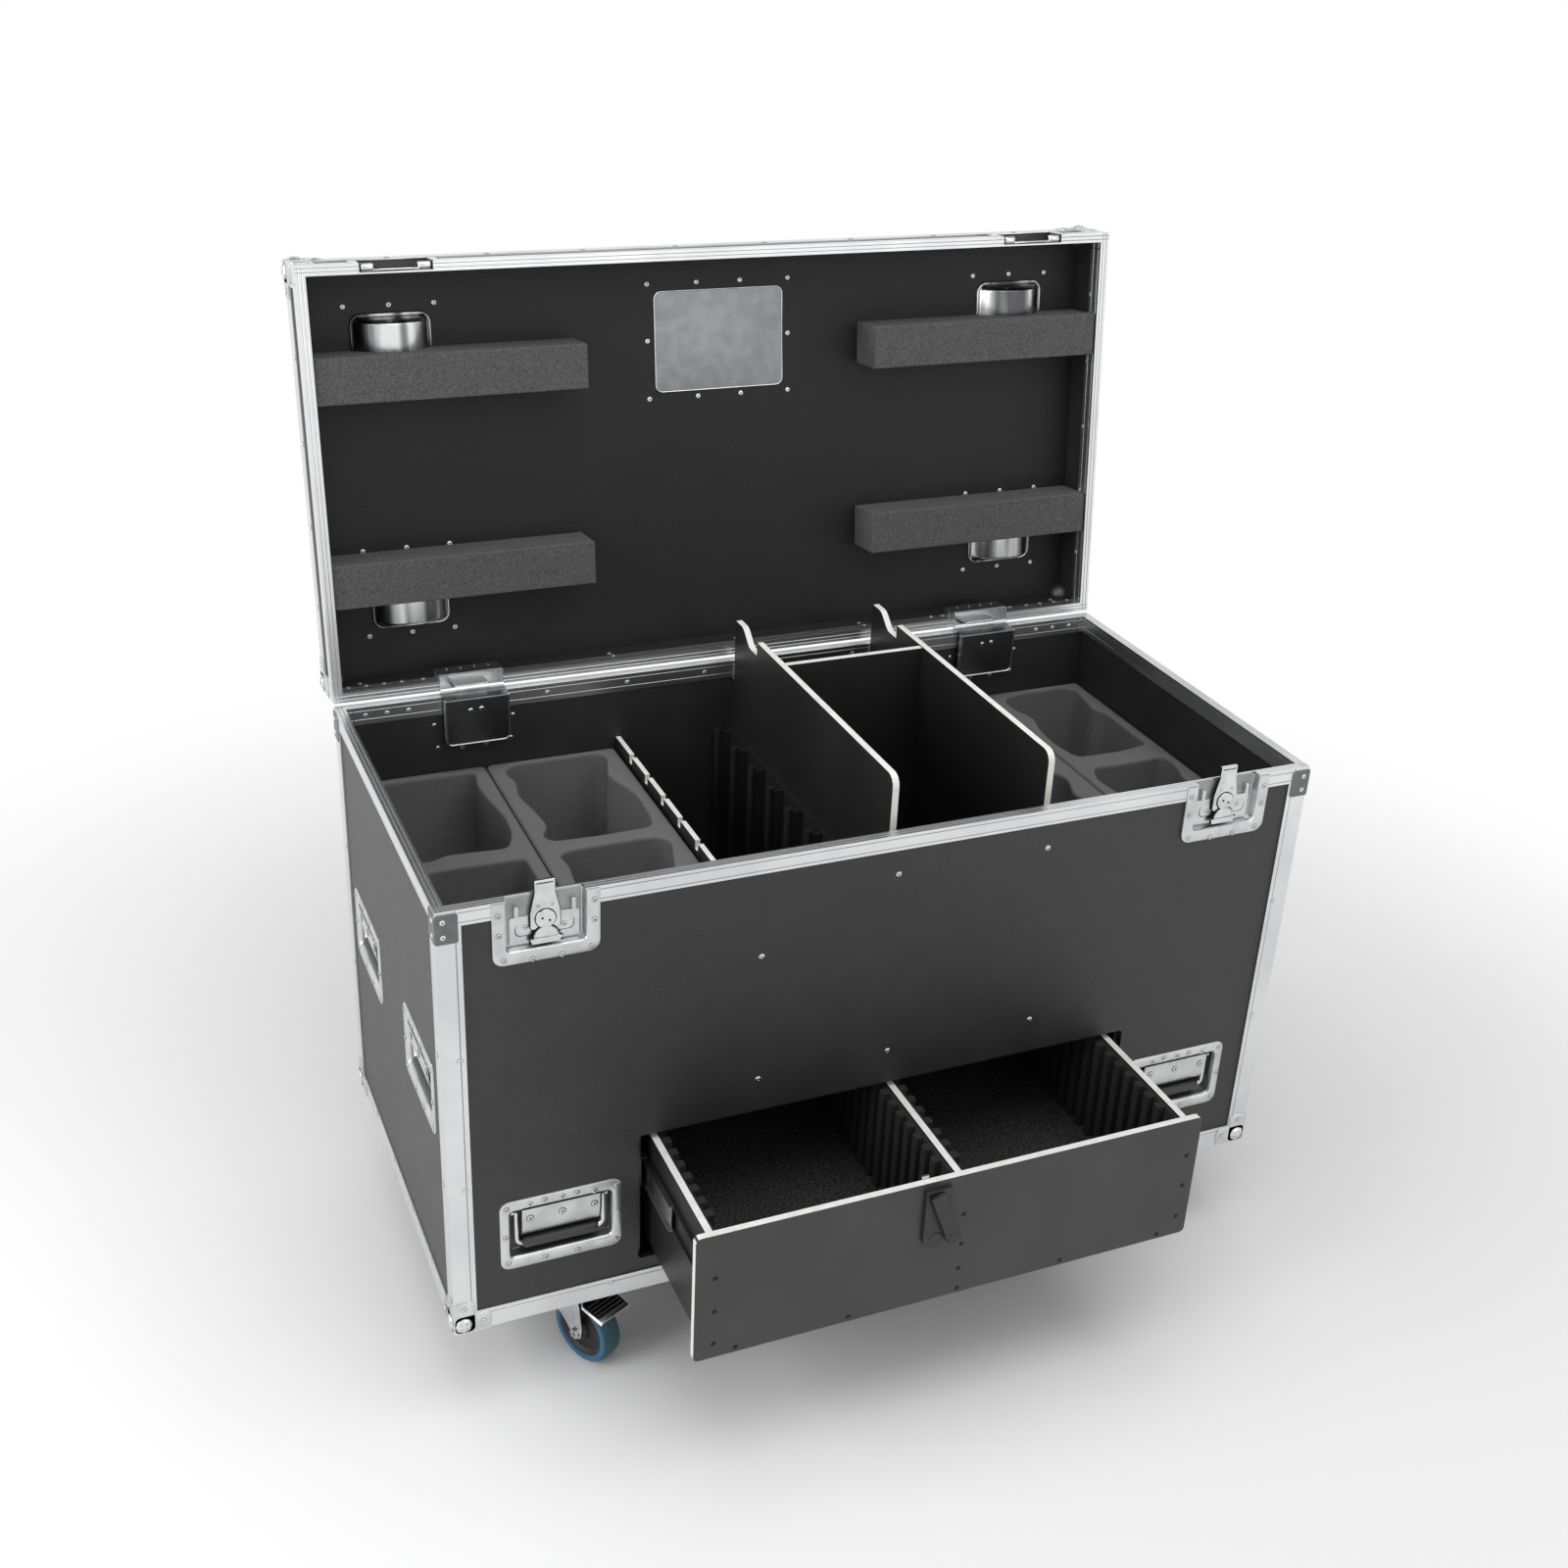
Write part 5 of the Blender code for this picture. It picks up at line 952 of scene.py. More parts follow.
def latch_hook():
    """The hook plate with a dark sheet of painted shade behind it as a seam, a crease darkened with painted
    shade, the nose over the strike, and two rivets.
    """
    face, top = -HALF_Y, HEIGHT + 0.018
    right = np.array([
        (0.016, LATCH_TURN_Z - 0.013), (0.018, LATCH_TURN_Z - 0.011), (0.018, LATCH_TURN_Z + 0.0085),
        (0.014, HEIGHT - 0.006), (0.0122, HEIGHT + 0.002), (0.0122, top - 0.0022),
        (0.0108, top - 0.0004),
    ])
    outline = np.concatenate([right, right[::-1] * (-1, 1)])
    nose = np.array([
        (0.0031, 0.0), (0.0036, 0.0008), (0.0072, 0.0008), (0.0077, 0.0), (0.0077, -0.0012),
        (0.0036, -0.0012),
    ]) + (face, top - 0.0008)
    spots = [(x, face + 0.0031, LATCH_TURN_Z + 0.018) for x in (-0.0085, 0.0085)]
    return merged(
        plate(outline, face + 0.0047, face + 0.0031, 0.0003),
        # Painted shade: the wider sheet behind the plate and the crease strip are fully darkened.
        shaded(plate(outline * (1.06, 1.0) + (0.0, -0.0006), face + 0.0049, face + 0.0044)),
        shaded(pad(0.02, 0.0012, 0.0005, (0.0, top - 0.004), face + 0.0033, face + 0.0029)),
        surface([np.column_stack([np.full(len(nose), across), nose]) for across in (-0.0121, 0.0121)]),
        rivets(spots, FRONT, 0.0022, 0.0007),
    )


def latch_strike():
    """The lid's part of the latch: end plates, cover strip, pan floors and lip."""
    face = -HALF_Y
    return merged(
        pad(0.01, 0.034, 0.002, (-0.0525, LID_RIM + 0.019), face + 0.0002, face - 0.0008),
        pad(0.01, 0.034, 0.002, (0.0525, LID_RIM + 0.019), face + 0.0002, face - 0.0008),
        pad(0.096, 0.004, 0.0015, (0.0, LID_RIM + 0.0385), face + 0.0002, face - 0.0008),
        pad(0.0925, 0.0365, 0.003, (0.0, LID_RIM + 0.02), face + 0.0099, face + 0.0094, arc=4),
        pad(0.0612, 0.004, 0.0012, (0.0, LID_RIM + 0.0039), face + 0.01, face + 0.0083),
        pad(0.096, 0.0385, 0.003, (0.0, LID_RIM + 0.0205), face + 0.0113, face + 0.0117, arc=4),
    )


class CASE_OT_latches(bpy.types.Operator):
    """Make the recessed butterfly latches"""

    bl_idname = "case.latches"
    bl_label = "Latches"

    def execute(self, context):
        for word, side in SIDES.items():
            place = (side * LATCH_X, 0, 0)
            dish = placed(latch_dish(), place, matrix=np.diag((-side, 1, 1)))
            make(f"latch_dish_visual_{word}", dish, dish_steel(), "case", (f"latch_dish_{word}",))
            for part, shape in (("turn", latch_turn()), ("hook", latch_hook())):
                node = f"latch_{part}_{word}"
                make(f"latch_{part}_visual_{word}", placed(shape, place), bright(), node, (node,))
            make(f"strike_{word}", opened(placed(latch_strike(), place)), bright(), "lid")
        return {"FINISHED"}


def handle_place(name):
    """The middle of a handle's dish on its board and the dish's turn about Z."""
    first, second = name.split("_")
    if first == "front":
        return (SIDES[second] * FRONT_HANDLE[0], FACE, FRONT_HANDLE[1]), 0.0
    across, along, level = SIDE_HANDLE
    place = (SIDES[first] * across, along if second == "rear" else -along, level)
    return place, SIDES[first] * math.pi / 2


def handle_pan():
    """The pressed pan, flange to floor, as nested rounded rectangles with their sizes in millimetres."""
    steps = (
        (160.0, 107.0, 13.0, 0.3), (159.4, 106.4, 12.7, -1.2), (157.6, 104.6, 12.0, -1.9),
        (146.0, 88.0, 9.0, -1.9), (142.0, 82.0, 8.0, -2.2), (137.0, 76.5, 7.0, -1.6),
        (134.0, 73.0, 6.2, 0.4), (133.0, 72.0, 6.0, 4.0), (132.8, 71.8, 5.8, 11.5),
        (130.0, 69.0, 4.6, 14.3), (125.0, 64.0, 3.0, 15.0),
    )
    loops = []
    for step in steps:
        width, height, radius, depth = (part / 1000 for part in step)
        loops.append(upright_loop(rounded_loop(width, height, radius, 7, 3), depth))
    front = np.asarray(loops)
    return surface(np.concatenate([front[::-1], front + np.array([0, settings().sheet, 0])]))


def handle_cover():
    """The spring cover: a sheet over the upper pan that rolls inwards along its lower edge."""
    profile = np.array([
        (-0.0021, 0.0372), (-0.0019, 0.0355), (-0.0014, 0.029), (-0.0012, 0.02), (-0.001, 0.015),
        (-0.0005, 0.01), (0.0003, 0.005), (0.0014, 0.0005), (0.003, -0.0035), (0.005, -0.0068),
        (0.0074, -0.009), (0.01, -0.01),
    ])
    ring = np.concatenate([profile, profile[::-1] + np.array([0.0012, 0.0004])])
    return surface([np.column_stack([np.full(len(ring), x), ring]) for x in np.linspace(-0.051, 0.051, 9)])


def handle_dish():
    """The handle's pan and cover with rivets, dimples, and dark sheets of painted shade in the hollows
    beside the bail and along the cover's top.
    """
    rivet_spots = (
        (-0.0707, 0.0432), (-0.0731, -0.0013), (-0.0704, -0.0432), (-0.0217, -0.045), (0.0211, -0.0464),
        (0.0725, -0.0438), (0.0751, -0.0012), (0.0725, 0.0437), (0.0206, 0.0455), (-0.0215, 0.0464),
    )
    dimples = (
        (-0.0405, 0.044), (0.0014, 0.0446), (0.0438, 0.0422), (-0.0405, 0.0215), (0.0014, 0.0215),
        (0.0438, 0.0215),
    )
    return merged(
        handle_pan(),
        handle_cover(),
        rivets([(x, -0.0019, z) for x, z in rivet_spots], FRONT, 0.0038, 0.0014),
        rivets([(x, -0.0016, z) for x, z in dimples], FRONT, 0.0046, 0.001, 16),
        # Painted shade: these dark plates stand for the shade in the hollows beside the bail and at the
        # cover's edge.
        shaded(pad(0.013, 0.066, 0.002, (-0.059, 0.0), 0.015, 0.0128), 0.85),
        shaded(pad(0.013, 0.066, 0.002, (0.059, 0.0), 0.015, 0.0128), 0.85),
        shaded(pad(0.106, 0.026, 0.002, (0.0, -0.0215), 0.015, 0.0135), 0.9),
        shaded(pad(0.102, 0.001, 0.0004, (0.0, 0.0372), -0.001, -0.0024)),
    )


def bail_bar():
    """The bail's two legs, each bent in an arc of radius r into the grip, and their pivot pins."""
    legs = []
    for edge in (-1, 1):
        angle, radius, bend = np.linspace(0, math.pi / 2, 6), 0.0098, 0.047
        corner = np.stack([edge * (bend + radius * np.cos(angle)), -0.0122 - radius * np.sin(angle)], -1)
        path = [[[edge * 0.0568, 0.03], [edge * 0.0568, 0.01]], corner, [[edge * 0.03, -0.022]]]
        legs.append(tube(upright_loop(np.concatenate(path), 0.0072), 0.0034))
        pin = spun([(0.0021, 0.0), (0.0021, 0.0066)], 16)
        legs.append(placed(pin, (edge * 0.0568, 0.0075, 0.0275), edge * -math.pi / 2))
    return merged(*legs)


def bail_grip():
    """The grip, a round section whose ends narrow as the square root of the distance from them."""
    share = np.linspace(-1, 1, 25)
    path = upright_loop(np.stack([share * 0.05, np.full(25, -0.022)], -1), 0.0072)
    ends = np.clip((1 - np.abs(share)) / 0.06, 0.0, 1.0)
    return tube(path, 0.005 + 0.0022 * np.sqrt(ends), 20)


class CASE_OT_handles(bpy.types.Operator):
    """Make the recessed spring handles"""

    bl_idname = "case.handles"
    bl_label = "Handles"

    def execute(self, context):
        grip_black = plain("grip_rubber", (0.034, 0.034, 0.035), 0.42, 0.0, 0.0003, 900.0)
        for name in HANDLES:
            place = handle_place(name)
            body = f"handle_bail_{name}"
            dish = placed(handle_dish(), *place)
            make(f"handle_dish_visual_{name}", dish, dish_steel(), "case", (f"handle_dish_{name}",))
            make(f"bail_bar_{name}", placed(bail_bar(), *place), bright(), body, (body,))
            make(f"bail_grip_{name}", placed(bail_grip(), *place), grip_black, body)
        return {"FINISHED"}


def hinge_tub():
    """The box that covers the hinge inside the case, along a U outline with eased edges."""
    top = HEIGHT + 0.0002
    steps = (
        (0.0922, 0.0702, 0.0085, -0.001), (0.0922, 0.0702, 0.0085, 0.016),
        (0.0916, 0.0696, 0.008, 0.0284), (0.0896, 0.0686, 0.007, 0.0292), (0.087, 0.0672, 0.006, 0.0293),
    )
    loops = []
    for width, drop, corner, reach in steps:
        loop = latch_loop(0.0, corner, top - (0.0702 - drop), width, top - drop)
        loops.append(upright_loop(loop, HALF_Y - reach))
    return surface(loops)


def hinge_trim(side):
    """The tub's bright edge, its rivets, the knuckles and the plate outside."""
    top, inner, outer = HEIGHT + 0.0002, HALF_Y - 0.029, HALF_Y + 0.0019
    flange_spots = (
        (-0.0586, 0.5803), (0.0548, 0.581), (0.051, 0.5459), (-0.0545, 0.5444), (-0.0194, 0.5407),
        (0.0149, 0.5418),
    )
    edge = latch_loop(0.0012, 0.0078, top - 0.001, 0.0922, top - 0.0702)
    outer_plate = latch_loop(0.0, 0.01, HEIGHT - 0.004, 0.128, HEIGHT - 0.09)
    flange_rivets = [(-side * x, HALF_Y - INSIDE + 0.0004, z) for x, z in flange_spots]
    inner_rivets = [(-0.01, inner - 0.0001, 0.605), (0.0056, inner - 0.0001, 0.606)]
    outer_spots = ((-0.055, 0.5405), (-0.055, 0.602), (0.0, 0.5405), (0.055, 0.5405), (0.055, 0.602))
    outer_rivets = [(x, outer, z) for x, z in outer_spots]
    parts = [
        tube(upright_loop(edge, inner - 0.0002), 0.0011, 8),
        rivets(flange_rivets, FRONT, 0.0037, 0.0016),
        rivets(inner_rivets, FRONT, 0.0037, 0.0018),
        plate(outer_plate, HALF_Y + 0.0002, outer),
        rivets(outer_rivets, (0, 1, 0), 0.0037, 0.0014),
    ]
    for across in (-0.03, 0.03):
        knuckle = spun([(0.0036, 0.0), (0.0036, 0.014)], 16)
        parts.append(placed(knuckle, (across, HALF_Y + 0.0014, HINGE_Z), -math.pi / 2))
    return merged(*parts)


def hinge_leaf():
    """The lid's plates inside and outside, their rivets and the middle knuckle."""
    inner, outer = HALF_Y - 0.0222, HALF_Y + 0.0017
    barrel = spun([(0.003, 0.0), (0.0047, 0.0006), (0.0047, 0.0464), (0.003, 0.047)], 24)
    inner_rivets = [(x, inner - 0.0006, LID_RIM + 0.022) for x in (-0.03, -0.01, 0.01, 0.03)]
    outer_rivets = [(x, outer, LID_RIM + 0.036) for x in (-0.055, 0.0, 0.055)]
    return merged(
        pad(0.0926, 0.034, 0.004, (0.0, LID_RIM + 0.0172), inner, inner - 0.0006, arc=4),
        rivets(inner_rivets, FRONT, 0.0032),
        placed(barrel, (0.0235, HINGE_Y, HINGE_Z), math.pi / 2),
        pad(0.128, 0.04, 0.006, (0.0, LID_RIM + 0.025), HALF_Y + 0.0004, outer, arc=4),
        rivets(outer_rivets, (0, 1, 0), 0.0037),
    )


class CASE_OT_hinges(bpy.types.Operator):
    """Make the lid hinges' dishes, knuckles and leaves"""

    bl_idname = "case.hinges"
    bl_label = "Hinges"

    def execute(self, context):
        dark = steel("hinge_steel", (0.22, 0.222, 0.226), 0.22)
        for word, side in SIDES.items():
            place = (side * HINGE_X, 0, 0)
            make(f"hinge_tub_{word}", placed(hinge_tub(), place), dark, "case")
            make(f"hinge_trim_{word}", placed(hinge_trim(side), place), bright(), "case")
            make(f"hinge_leaf_{word}", opened(placed(hinge_leaf(), place)), bright(), "lid")
        return {"FINISHED"}


# Each insert's span along X in metres, and its pockets' outlines in mm from the case's left front corner
INSERTS = {
    1: (-0.5878, -0.395, (
        (52, 558), (187, 556), (179, 517), (182, 469), (191, 411), (187, 362), (172, 324), (122, 329),
        (83, 331), (74, 320), (55, 321), (38, 330), (36, 400), (50, 440), (50, 480), (36, 510),
        (38, 545),
    ), (
        (58, 293), (187, 291), (184, 256), (187, 241), (182, 224), (165, 199), (178, 150), (184, 100),
        (180, 60), (120, 52), (60, 54), (38, 62), (38, 130), (50, 170), (50, 215), (38, 240), (40, 280),
    )),
    2: (-0.393, -0.2, (
        (240, 560), (283, 562), (335, 560), (372, 562), (381, 548), (363, 489), (383, 418), (379, 342),
        (372, 322), (300, 320), (230, 324), (224, 345), (240, 367), (234, 420), (226, 464), (235, 510),
        (226, 540),
    ), (
        (248, 293), (341, 293), (372, 292), (383, 273), (362, 204), (381, 150), (384, 90), (372, 56),
        (300, 50), (232, 56), (226, 90), (240, 120), (234, 160), (228, 195), (235, 260), (228, 284),
    )),
    3: (0.2175, 0.419, (
        (850, 556), (900, 562), (960, 560), (992, 554), (985, 520), (1000, 480), (992, 430), (1000, 380),
        (998, 350), (980, 330), (920, 322), (860, 326), (840, 340), (842, 400), (856, 440), (856, 480),
        (842, 520),
    ), (
        (850, 292), (920, 292), (976, 296), (989, 290), (993, 267), (976, 223), (992, 180), (998, 120),
        (994, 70), (980, 54), (920, 50), (860, 54), (842, 70), (842, 120), (856, 170), (856, 220),
        (842, 262),
    )),
    4: (0.421, 0.5878, (
        (1056, 556), (1094, 560), (1159, 560), (1172, 546), (1159, 472), (1172, 453), (1170, 372),
        (1172, 335), (1120, 326), (1046, 328), (1036, 375), (1040, 430), (1052, 470), (1038, 510),
        (1040, 545),
    ), (
        (1050, 289), (1089, 286), (1140, 287), (1172, 290), (1174, 263), (1160, 217), (1172, 160),
        (1174, 90), (1166, 56), (1110, 50), (1052, 54), (1038, 70), (1038, 130), (1050, 170),
        (1040, 213), (1036, 254),
    )),
}


def smooth_loop(points, count=96):
    """A closed outline sampled evenly along its length, each point then averaged with its neighbours."""
    closed = np.vstack([points, points[:1]])
    reach = np.concatenate([[0], np.cumsum(np.linalg.norm(np.diff(closed, axis=0), axis=1))])
    even = np.linspace(0, reach[-1], count, endpoint=False)
    loop = np.stack([np.interp(even, reach, closed[:, 0]), np.interp(even, reach, closed[:, 1])], -1)
    for _ in range(2):
        loop = 0.25 * np.roll(loop, 1, 0) + 0.5 * loop + 0.25 * np.roll(loop, -1, 0)
    return loop


def inward(loop, amount):
    """The loop moved along its normals: a positive amount moves an anticlockwise loop inwards."""
    along = unit(np.roll(loop, -1, 0) - np.roll(loop, 1, 0))
    return loop + amount * np.stack([-along[:, 1], along[:, 0]], -1)


def foam_insert(low, high, *pockets):
    """One insert: the block with its eased edge, and each pocket from its floor up to its eased mouth."""
    top = 0.508
    floor = top - 0.18
    length = 2 * (HALF_Y - INSIDE - 0.0006)
    rows = []
    for inset, level in (
        (0.0, DECK + 0.0006), (0.0, top - 0.005), (0.0007, top - 0.0024), (0.0024, top - 0.0006),
        (0.0046, top),
    ):
        width, centre = high - low - 2 * inset, ((low + high) / 2, 0.0)
        loop = rounded_loop(width, length - 2 * inset, 0.005, 5, 10, centre)
        rows.append(level_loop(loop, level))
    walls = [rows]
    for outline in pockets:
        loop = smooth_loop(np.asarray(outline) / 1000 - np.array([HALF_X, HALF_Y]))
        area = np.sum(loop[:, 0] * np.roll(loop[:, 1], -1) - np.roll(loop[:, 0], -1) * loop[:, 1])
        loop = loop[::-1] if area < 0 else loop
        levels = (
            (0.007, floor), (0.003, floor + 0.001), (0.0006, floor + 0.006), (0.0, top - 0.006),
            (-0.0003, top - 0.0024), (-0.0014, top - 0.0006), (-0.0032, top),
        )
        walls.append([level_loop(inward(loop, amount), level) for amount, level in levels])
    return filled(walls, both=False)


class CASE_OT_inserts(bpy.types.Operator):
    """Make the foam inserts with their device pockets"""

    bl_idname = "case.inserts"
    bl_label = "Foam inserts"

    def execute(self, context):
        grey = foam("insert_foam", tuple(settings().foam_colour), 0.28, 1500.0, 0.00035)
        for number, plan in INSERTS.items():
            shape = foam_insert(*plan)
            item = make(f"insert_{number}", shape, grey, "case", (f"foam_insert_{number}",), 50)
        return {"FINISHED"}


def wheel_arc(across, clear=0.0):
    """The level zc - sqrt(R^2 - u^2) of a cup's barrel, R larger by the clearance."""
    return 0.7175 - np.sqrt((0.0575 + clear) ** 2 - np.minimum(np.abs(across), 0.0502) ** 2)


def lid_bar(left, right, far, near, cup):
    """A foam bar whose side beside a cup is lowered under the pan and follows the arc of the barrel."""
    soft, pan = 0.0012, 0.052
    edges = [left, left + soft, right - soft, right]
    ends = [-0.056, -0.0552, 0.0552, 0.056]
    beside_cup = cup[0] + np.concatenate([np.linspace(-0.054, 0.054, 41), ends])
    across = np.sort(np.concatenate([edges, beside_cup]))
    inset = np.where((across == left) | (across == right), soft, 0.0)
    top = LID_BOARD - 0.0003 - inset
    low = LID_RIM + 0.004 + inset
    beside = across - cup[0]
    relief = np.where(np.abs(beside) < 0.0554, np.minimum(0.6878, wheel_arc(beside, 0.0016)), top)
    behind = cup[1] > (far + near) / 2
    start, end, step = (near, far, cup[1] - pan) if behind else (far, near, cup[1] + pan)
    turn = -1 if behind else 1
    lowered, full = start + turn * inset, end - turn * inset
    rows = (
        (lowered + turn * soft, low), (full - turn * soft, low), (full, low + soft), (full, top - soft),
        (full - turn * soft, top), (np.full(len(across), step), top), (np.full(len(across), step), relief),
        (lowered + turn * soft, relief), (lowered, relief - soft), (lowered, low + soft),
    )
    return surface(np.stack([np.stack([across, side, level], -1) for side, level in rows], 1))


class CASE_OT_lid_foam(bpy.types.Operator):
    """Make the foam bars of the lid"""

    bl_idname = "case.lid_foam"
    bl_label = "Lid foam"

    def execute(self, context):
        grey = foam("lid_foam", tuple(settings().bar_colour), 0.55, 850.0, 0.001)
        for word, span in {"left": (-0.5855, -0.216), "right": (0.218, 0.5855)}.items():
            for place, near in (("rear", HALF_Y - 0.13), ("front", HALF_Y - 0.405)):
                name = f"{word}_{place}"
                shape = opened(lid_bar(*span, near - 0.0605, near, (SIDES[word] * CUP_X, CUP_LEVELS[place])))
                item = make(f"lid_bar_{name}", shape, grey, "lid", (f"lid_foam_{name}",))
        return {"FINISHED"}


def comb(wall, side, first, last, low, high):
    """A toothed strip seen from above, carried up from low to high."""
    base, middle, tip = wall + side * 0.004, wall + side * 0.0125, wall + side * 0.014
    pitch = 0.025
    outline = [(wall, last), (wall, first), (base, first)]
    for tooth in range(int((last - first - 2 * pitch) / pitch)):
        near = first + pitch * (tooth + 1)
        outline += [(base, near), (middle, near + 0.0003), (tip, near + 0.0016)]
        outline += [(tip, near + 0.0114), (middle, near + 0.0127), (base, near + 0.013)]
    outline = np.asarray([*outline, (base, last)])
    return surface([level_loop(outline, level) for level in (low, high)])


class CASE_OT_drawer_lining(bpy.types.Operator):
    """Make the drawer's foam combs and speckled floor mats"""

    bl_idname = "case.drawer_lining"
    bl_label = "Drawer lining"

    def execute(self, context):
        dark = foam("comb_foam", (0.02, 0.02, 0.021), 0.3, 1400.0, 0.0003)
        carpet = foam("mat_foam", (0.03, 0.03, 0.03), 1.4, 620.0, 0.0012)
        start = DRAWER_FACE + 0.0093
        first, last = start + 0.008, start + 0.4907
        floor = 0.0763
        for word, side in SIDES.items():
            near, far = 0.002 + side * 0.0048, 0.002 + side * 0.3284
            mat = block((near, first, floor), (far, last, floor + 0.004), 0.0012)
            walls = ((near, side), (far, -side))
            combs = [comb(wall, turn, first, last, floor + 0.0042, 0.235) for wall, turn in walls]
            for name, shape, finish in (("mat", mat, carpet), ("combs", merged(*combs), dark)):
                node = f"drawer_liner_{word}"
                item = make(f"drawer_{name}_{word}", shape, finish, "drawer", (node,))
        return {"FINISHED"}


class CASE_OT_drawer_latch(bpy.types.Operator):
    """Make the drawer's latch"""

    bl_idname = "case.drawer_latch"
    bl_label = "Drawer latch"

    def execute(self, context):
        coat = plain("latch_black", (0.016, 0.016, 0.017), 0.38, 0.0, 0.00015)
        middle, pivot, half = -0.032, 0.214, 0.0182
        arc = np.linspace(math.pi, 2 * math.pi, 13)
        foot = np.stack([middle + half * np.cos(arc), 0.1585 + half * np.sin(arc)], -1)
        outline = np.concatenate([foot, [[middle + half, 0.2312], [middle - half, 0.2312]]])
        ring = spun([(0.0095, 0.0), (0.0095, -0.001), (0.008, -0.0014), (0.006, -0.001)], 28)
        housing = merged(
            plate(outline, DRAWER_FACE + 0.001, DRAWER_FACE - 0.0064, 0.001),
            placed(ring, (middle, DRAWER_FACE - 0.006, 0.1555)),
        )
        make("drawer_latch_housing", housing, coat, "drawer")
        lever = merged(
            pad(0.0208, 0.083, 0.0045, (0.0, -0.0262), -0.0098, -0.0018, 0.0016, 5),
            spun([(0.008, -0.0022), (0.008, -0.0005)], 24),
            pad(0.014, 0.012, 0.003, (0.0, -0.057), -0.0096, -0.0102, 0.0004, 4),
        )
        shape = placed(lever, (middle, DRAWER_FACE - 0.006, pivot), matrix=about(1, math.radians(-21)))
        node = "drawer_latch_lever"
        make(f"{node}_visual", shape, coat, node, (node,))
        return {"FINISHED"}


def sheet_between(front, drop, grow, middle=(0.0, 0.0)):
    """A sheet from the rows of its front; its back lies lower by each row's drop and wider by its growth."""
    back = front.copy()
    back[:, :, 2] -= np.asarray(drop)[:, None]
    back[:, :, :2] += np.sign(front[:, :, :2] - np.asarray(middle)) * np.asarray(grow)[:, None, None]
    return surface(np.concatenate([front[::-1], back]))


def wheel_cup():
    """One sheet recess for a castor wheel, given about its own middle.

    Rounded rectangles step from the flange down the pan's wall. Inside it the level is the pan's floor
    or, where lower, the barrel's arc along X, which rises back to the floor at both ends along Y.
    """
    steps = (
        (0.138, 0.138, 0.016, 0.7016, 0.0, 0.0), (0.1368, 0.1368, 0.0155, 0.703, 0.0, 0.0),
        (0.112, 0.1056, 0.015, 0.703, 0.0, 0.0), (0.1082, 0.1016, 0.0145, 0.702, 0.0, 0.0008),
        (0.1064, 0.0996, 0.014, 0.699, 0.0, 0.0012), (0.1056, 0.0988, 0.0135, 0.6925, 0.0, 0.0012),
        (0.1042, 0.0974, 0.013, 0.6906, 0.0, 0.001), (0.1016, 0.0948, 0.012, CUP_PAN, 0.8, 0.0004),
    )
    rows = []
    # Painted reflection: the pan's floor rows carry a shade of 0.8, the barrel where it drops carries none.
    for width, length, corner, level, shade, _ in steps:
        rows.append(level_loop(rounded_loop(width, length, corner, 6, 12), level, shade))
    for share in np.linspace(0.98, 0.02, 34):
        loop = rounded_loop(0.1016 * share, 0.0948 * share, 0.012 * share, 6, 12)
        rise = np.clip((0.0462 - np.abs(loop[:, 1])) / 0.0065, 0.0, 1.0)
        drop = np.maximum(CUP_PAN - wheel_arc(loop[:, 0]), 0.0) * np.sin(rise * math.pi / 2)
        rows.append(level_loop(loop, CUP_PAN - drop, 0.8 * (drop < 0.0012)))
    grow = [step[-1] for step in steps] + [0.0] * 34
    line = level_loop(rounded_loop(0.1062, 0.0994, 0.014, 6, 6), CUP_PAN - 0.0006)
    return merged(sheet_between(np.asarray(rows), [0.0014] * len(rows), grow), hoop(line, 0.001))


def label_dish():
    """The shallow dish for a label: flange, lip, wall and floor."""
    steps = (
        (0.23, 0.175, 0.01, -0.0002, 0.0001, 0.0), (0.2296, 0.1746, 0.01, 0.0016, 0.0004, 0.0),
        (0.198, 0.143, 0.01, 0.0016, 0.0014, 0.0), (0.1945, 0.1395, 0.0092, 0.0008, 0.0016, 0.0014),
        (0.1932, 0.1382, 0.0088, -0.006, 0.0016, 0.0016),
        (0.1924, 0.1374, 0.0085, -0.0088, 0.0014, 0.0014),
        (0.189, 0.134, 0.008, -0.0096, 0.0012, 0.0004),
    )
    rows = [level_loop(rounded_loop(*step[:3], 6, 2, LABEL), LID_OUTER + step[3]) for step in steps]
    return sheet_between(np.asarray(rows), [step[4] for step in steps], [step[5] for step in steps], LABEL)


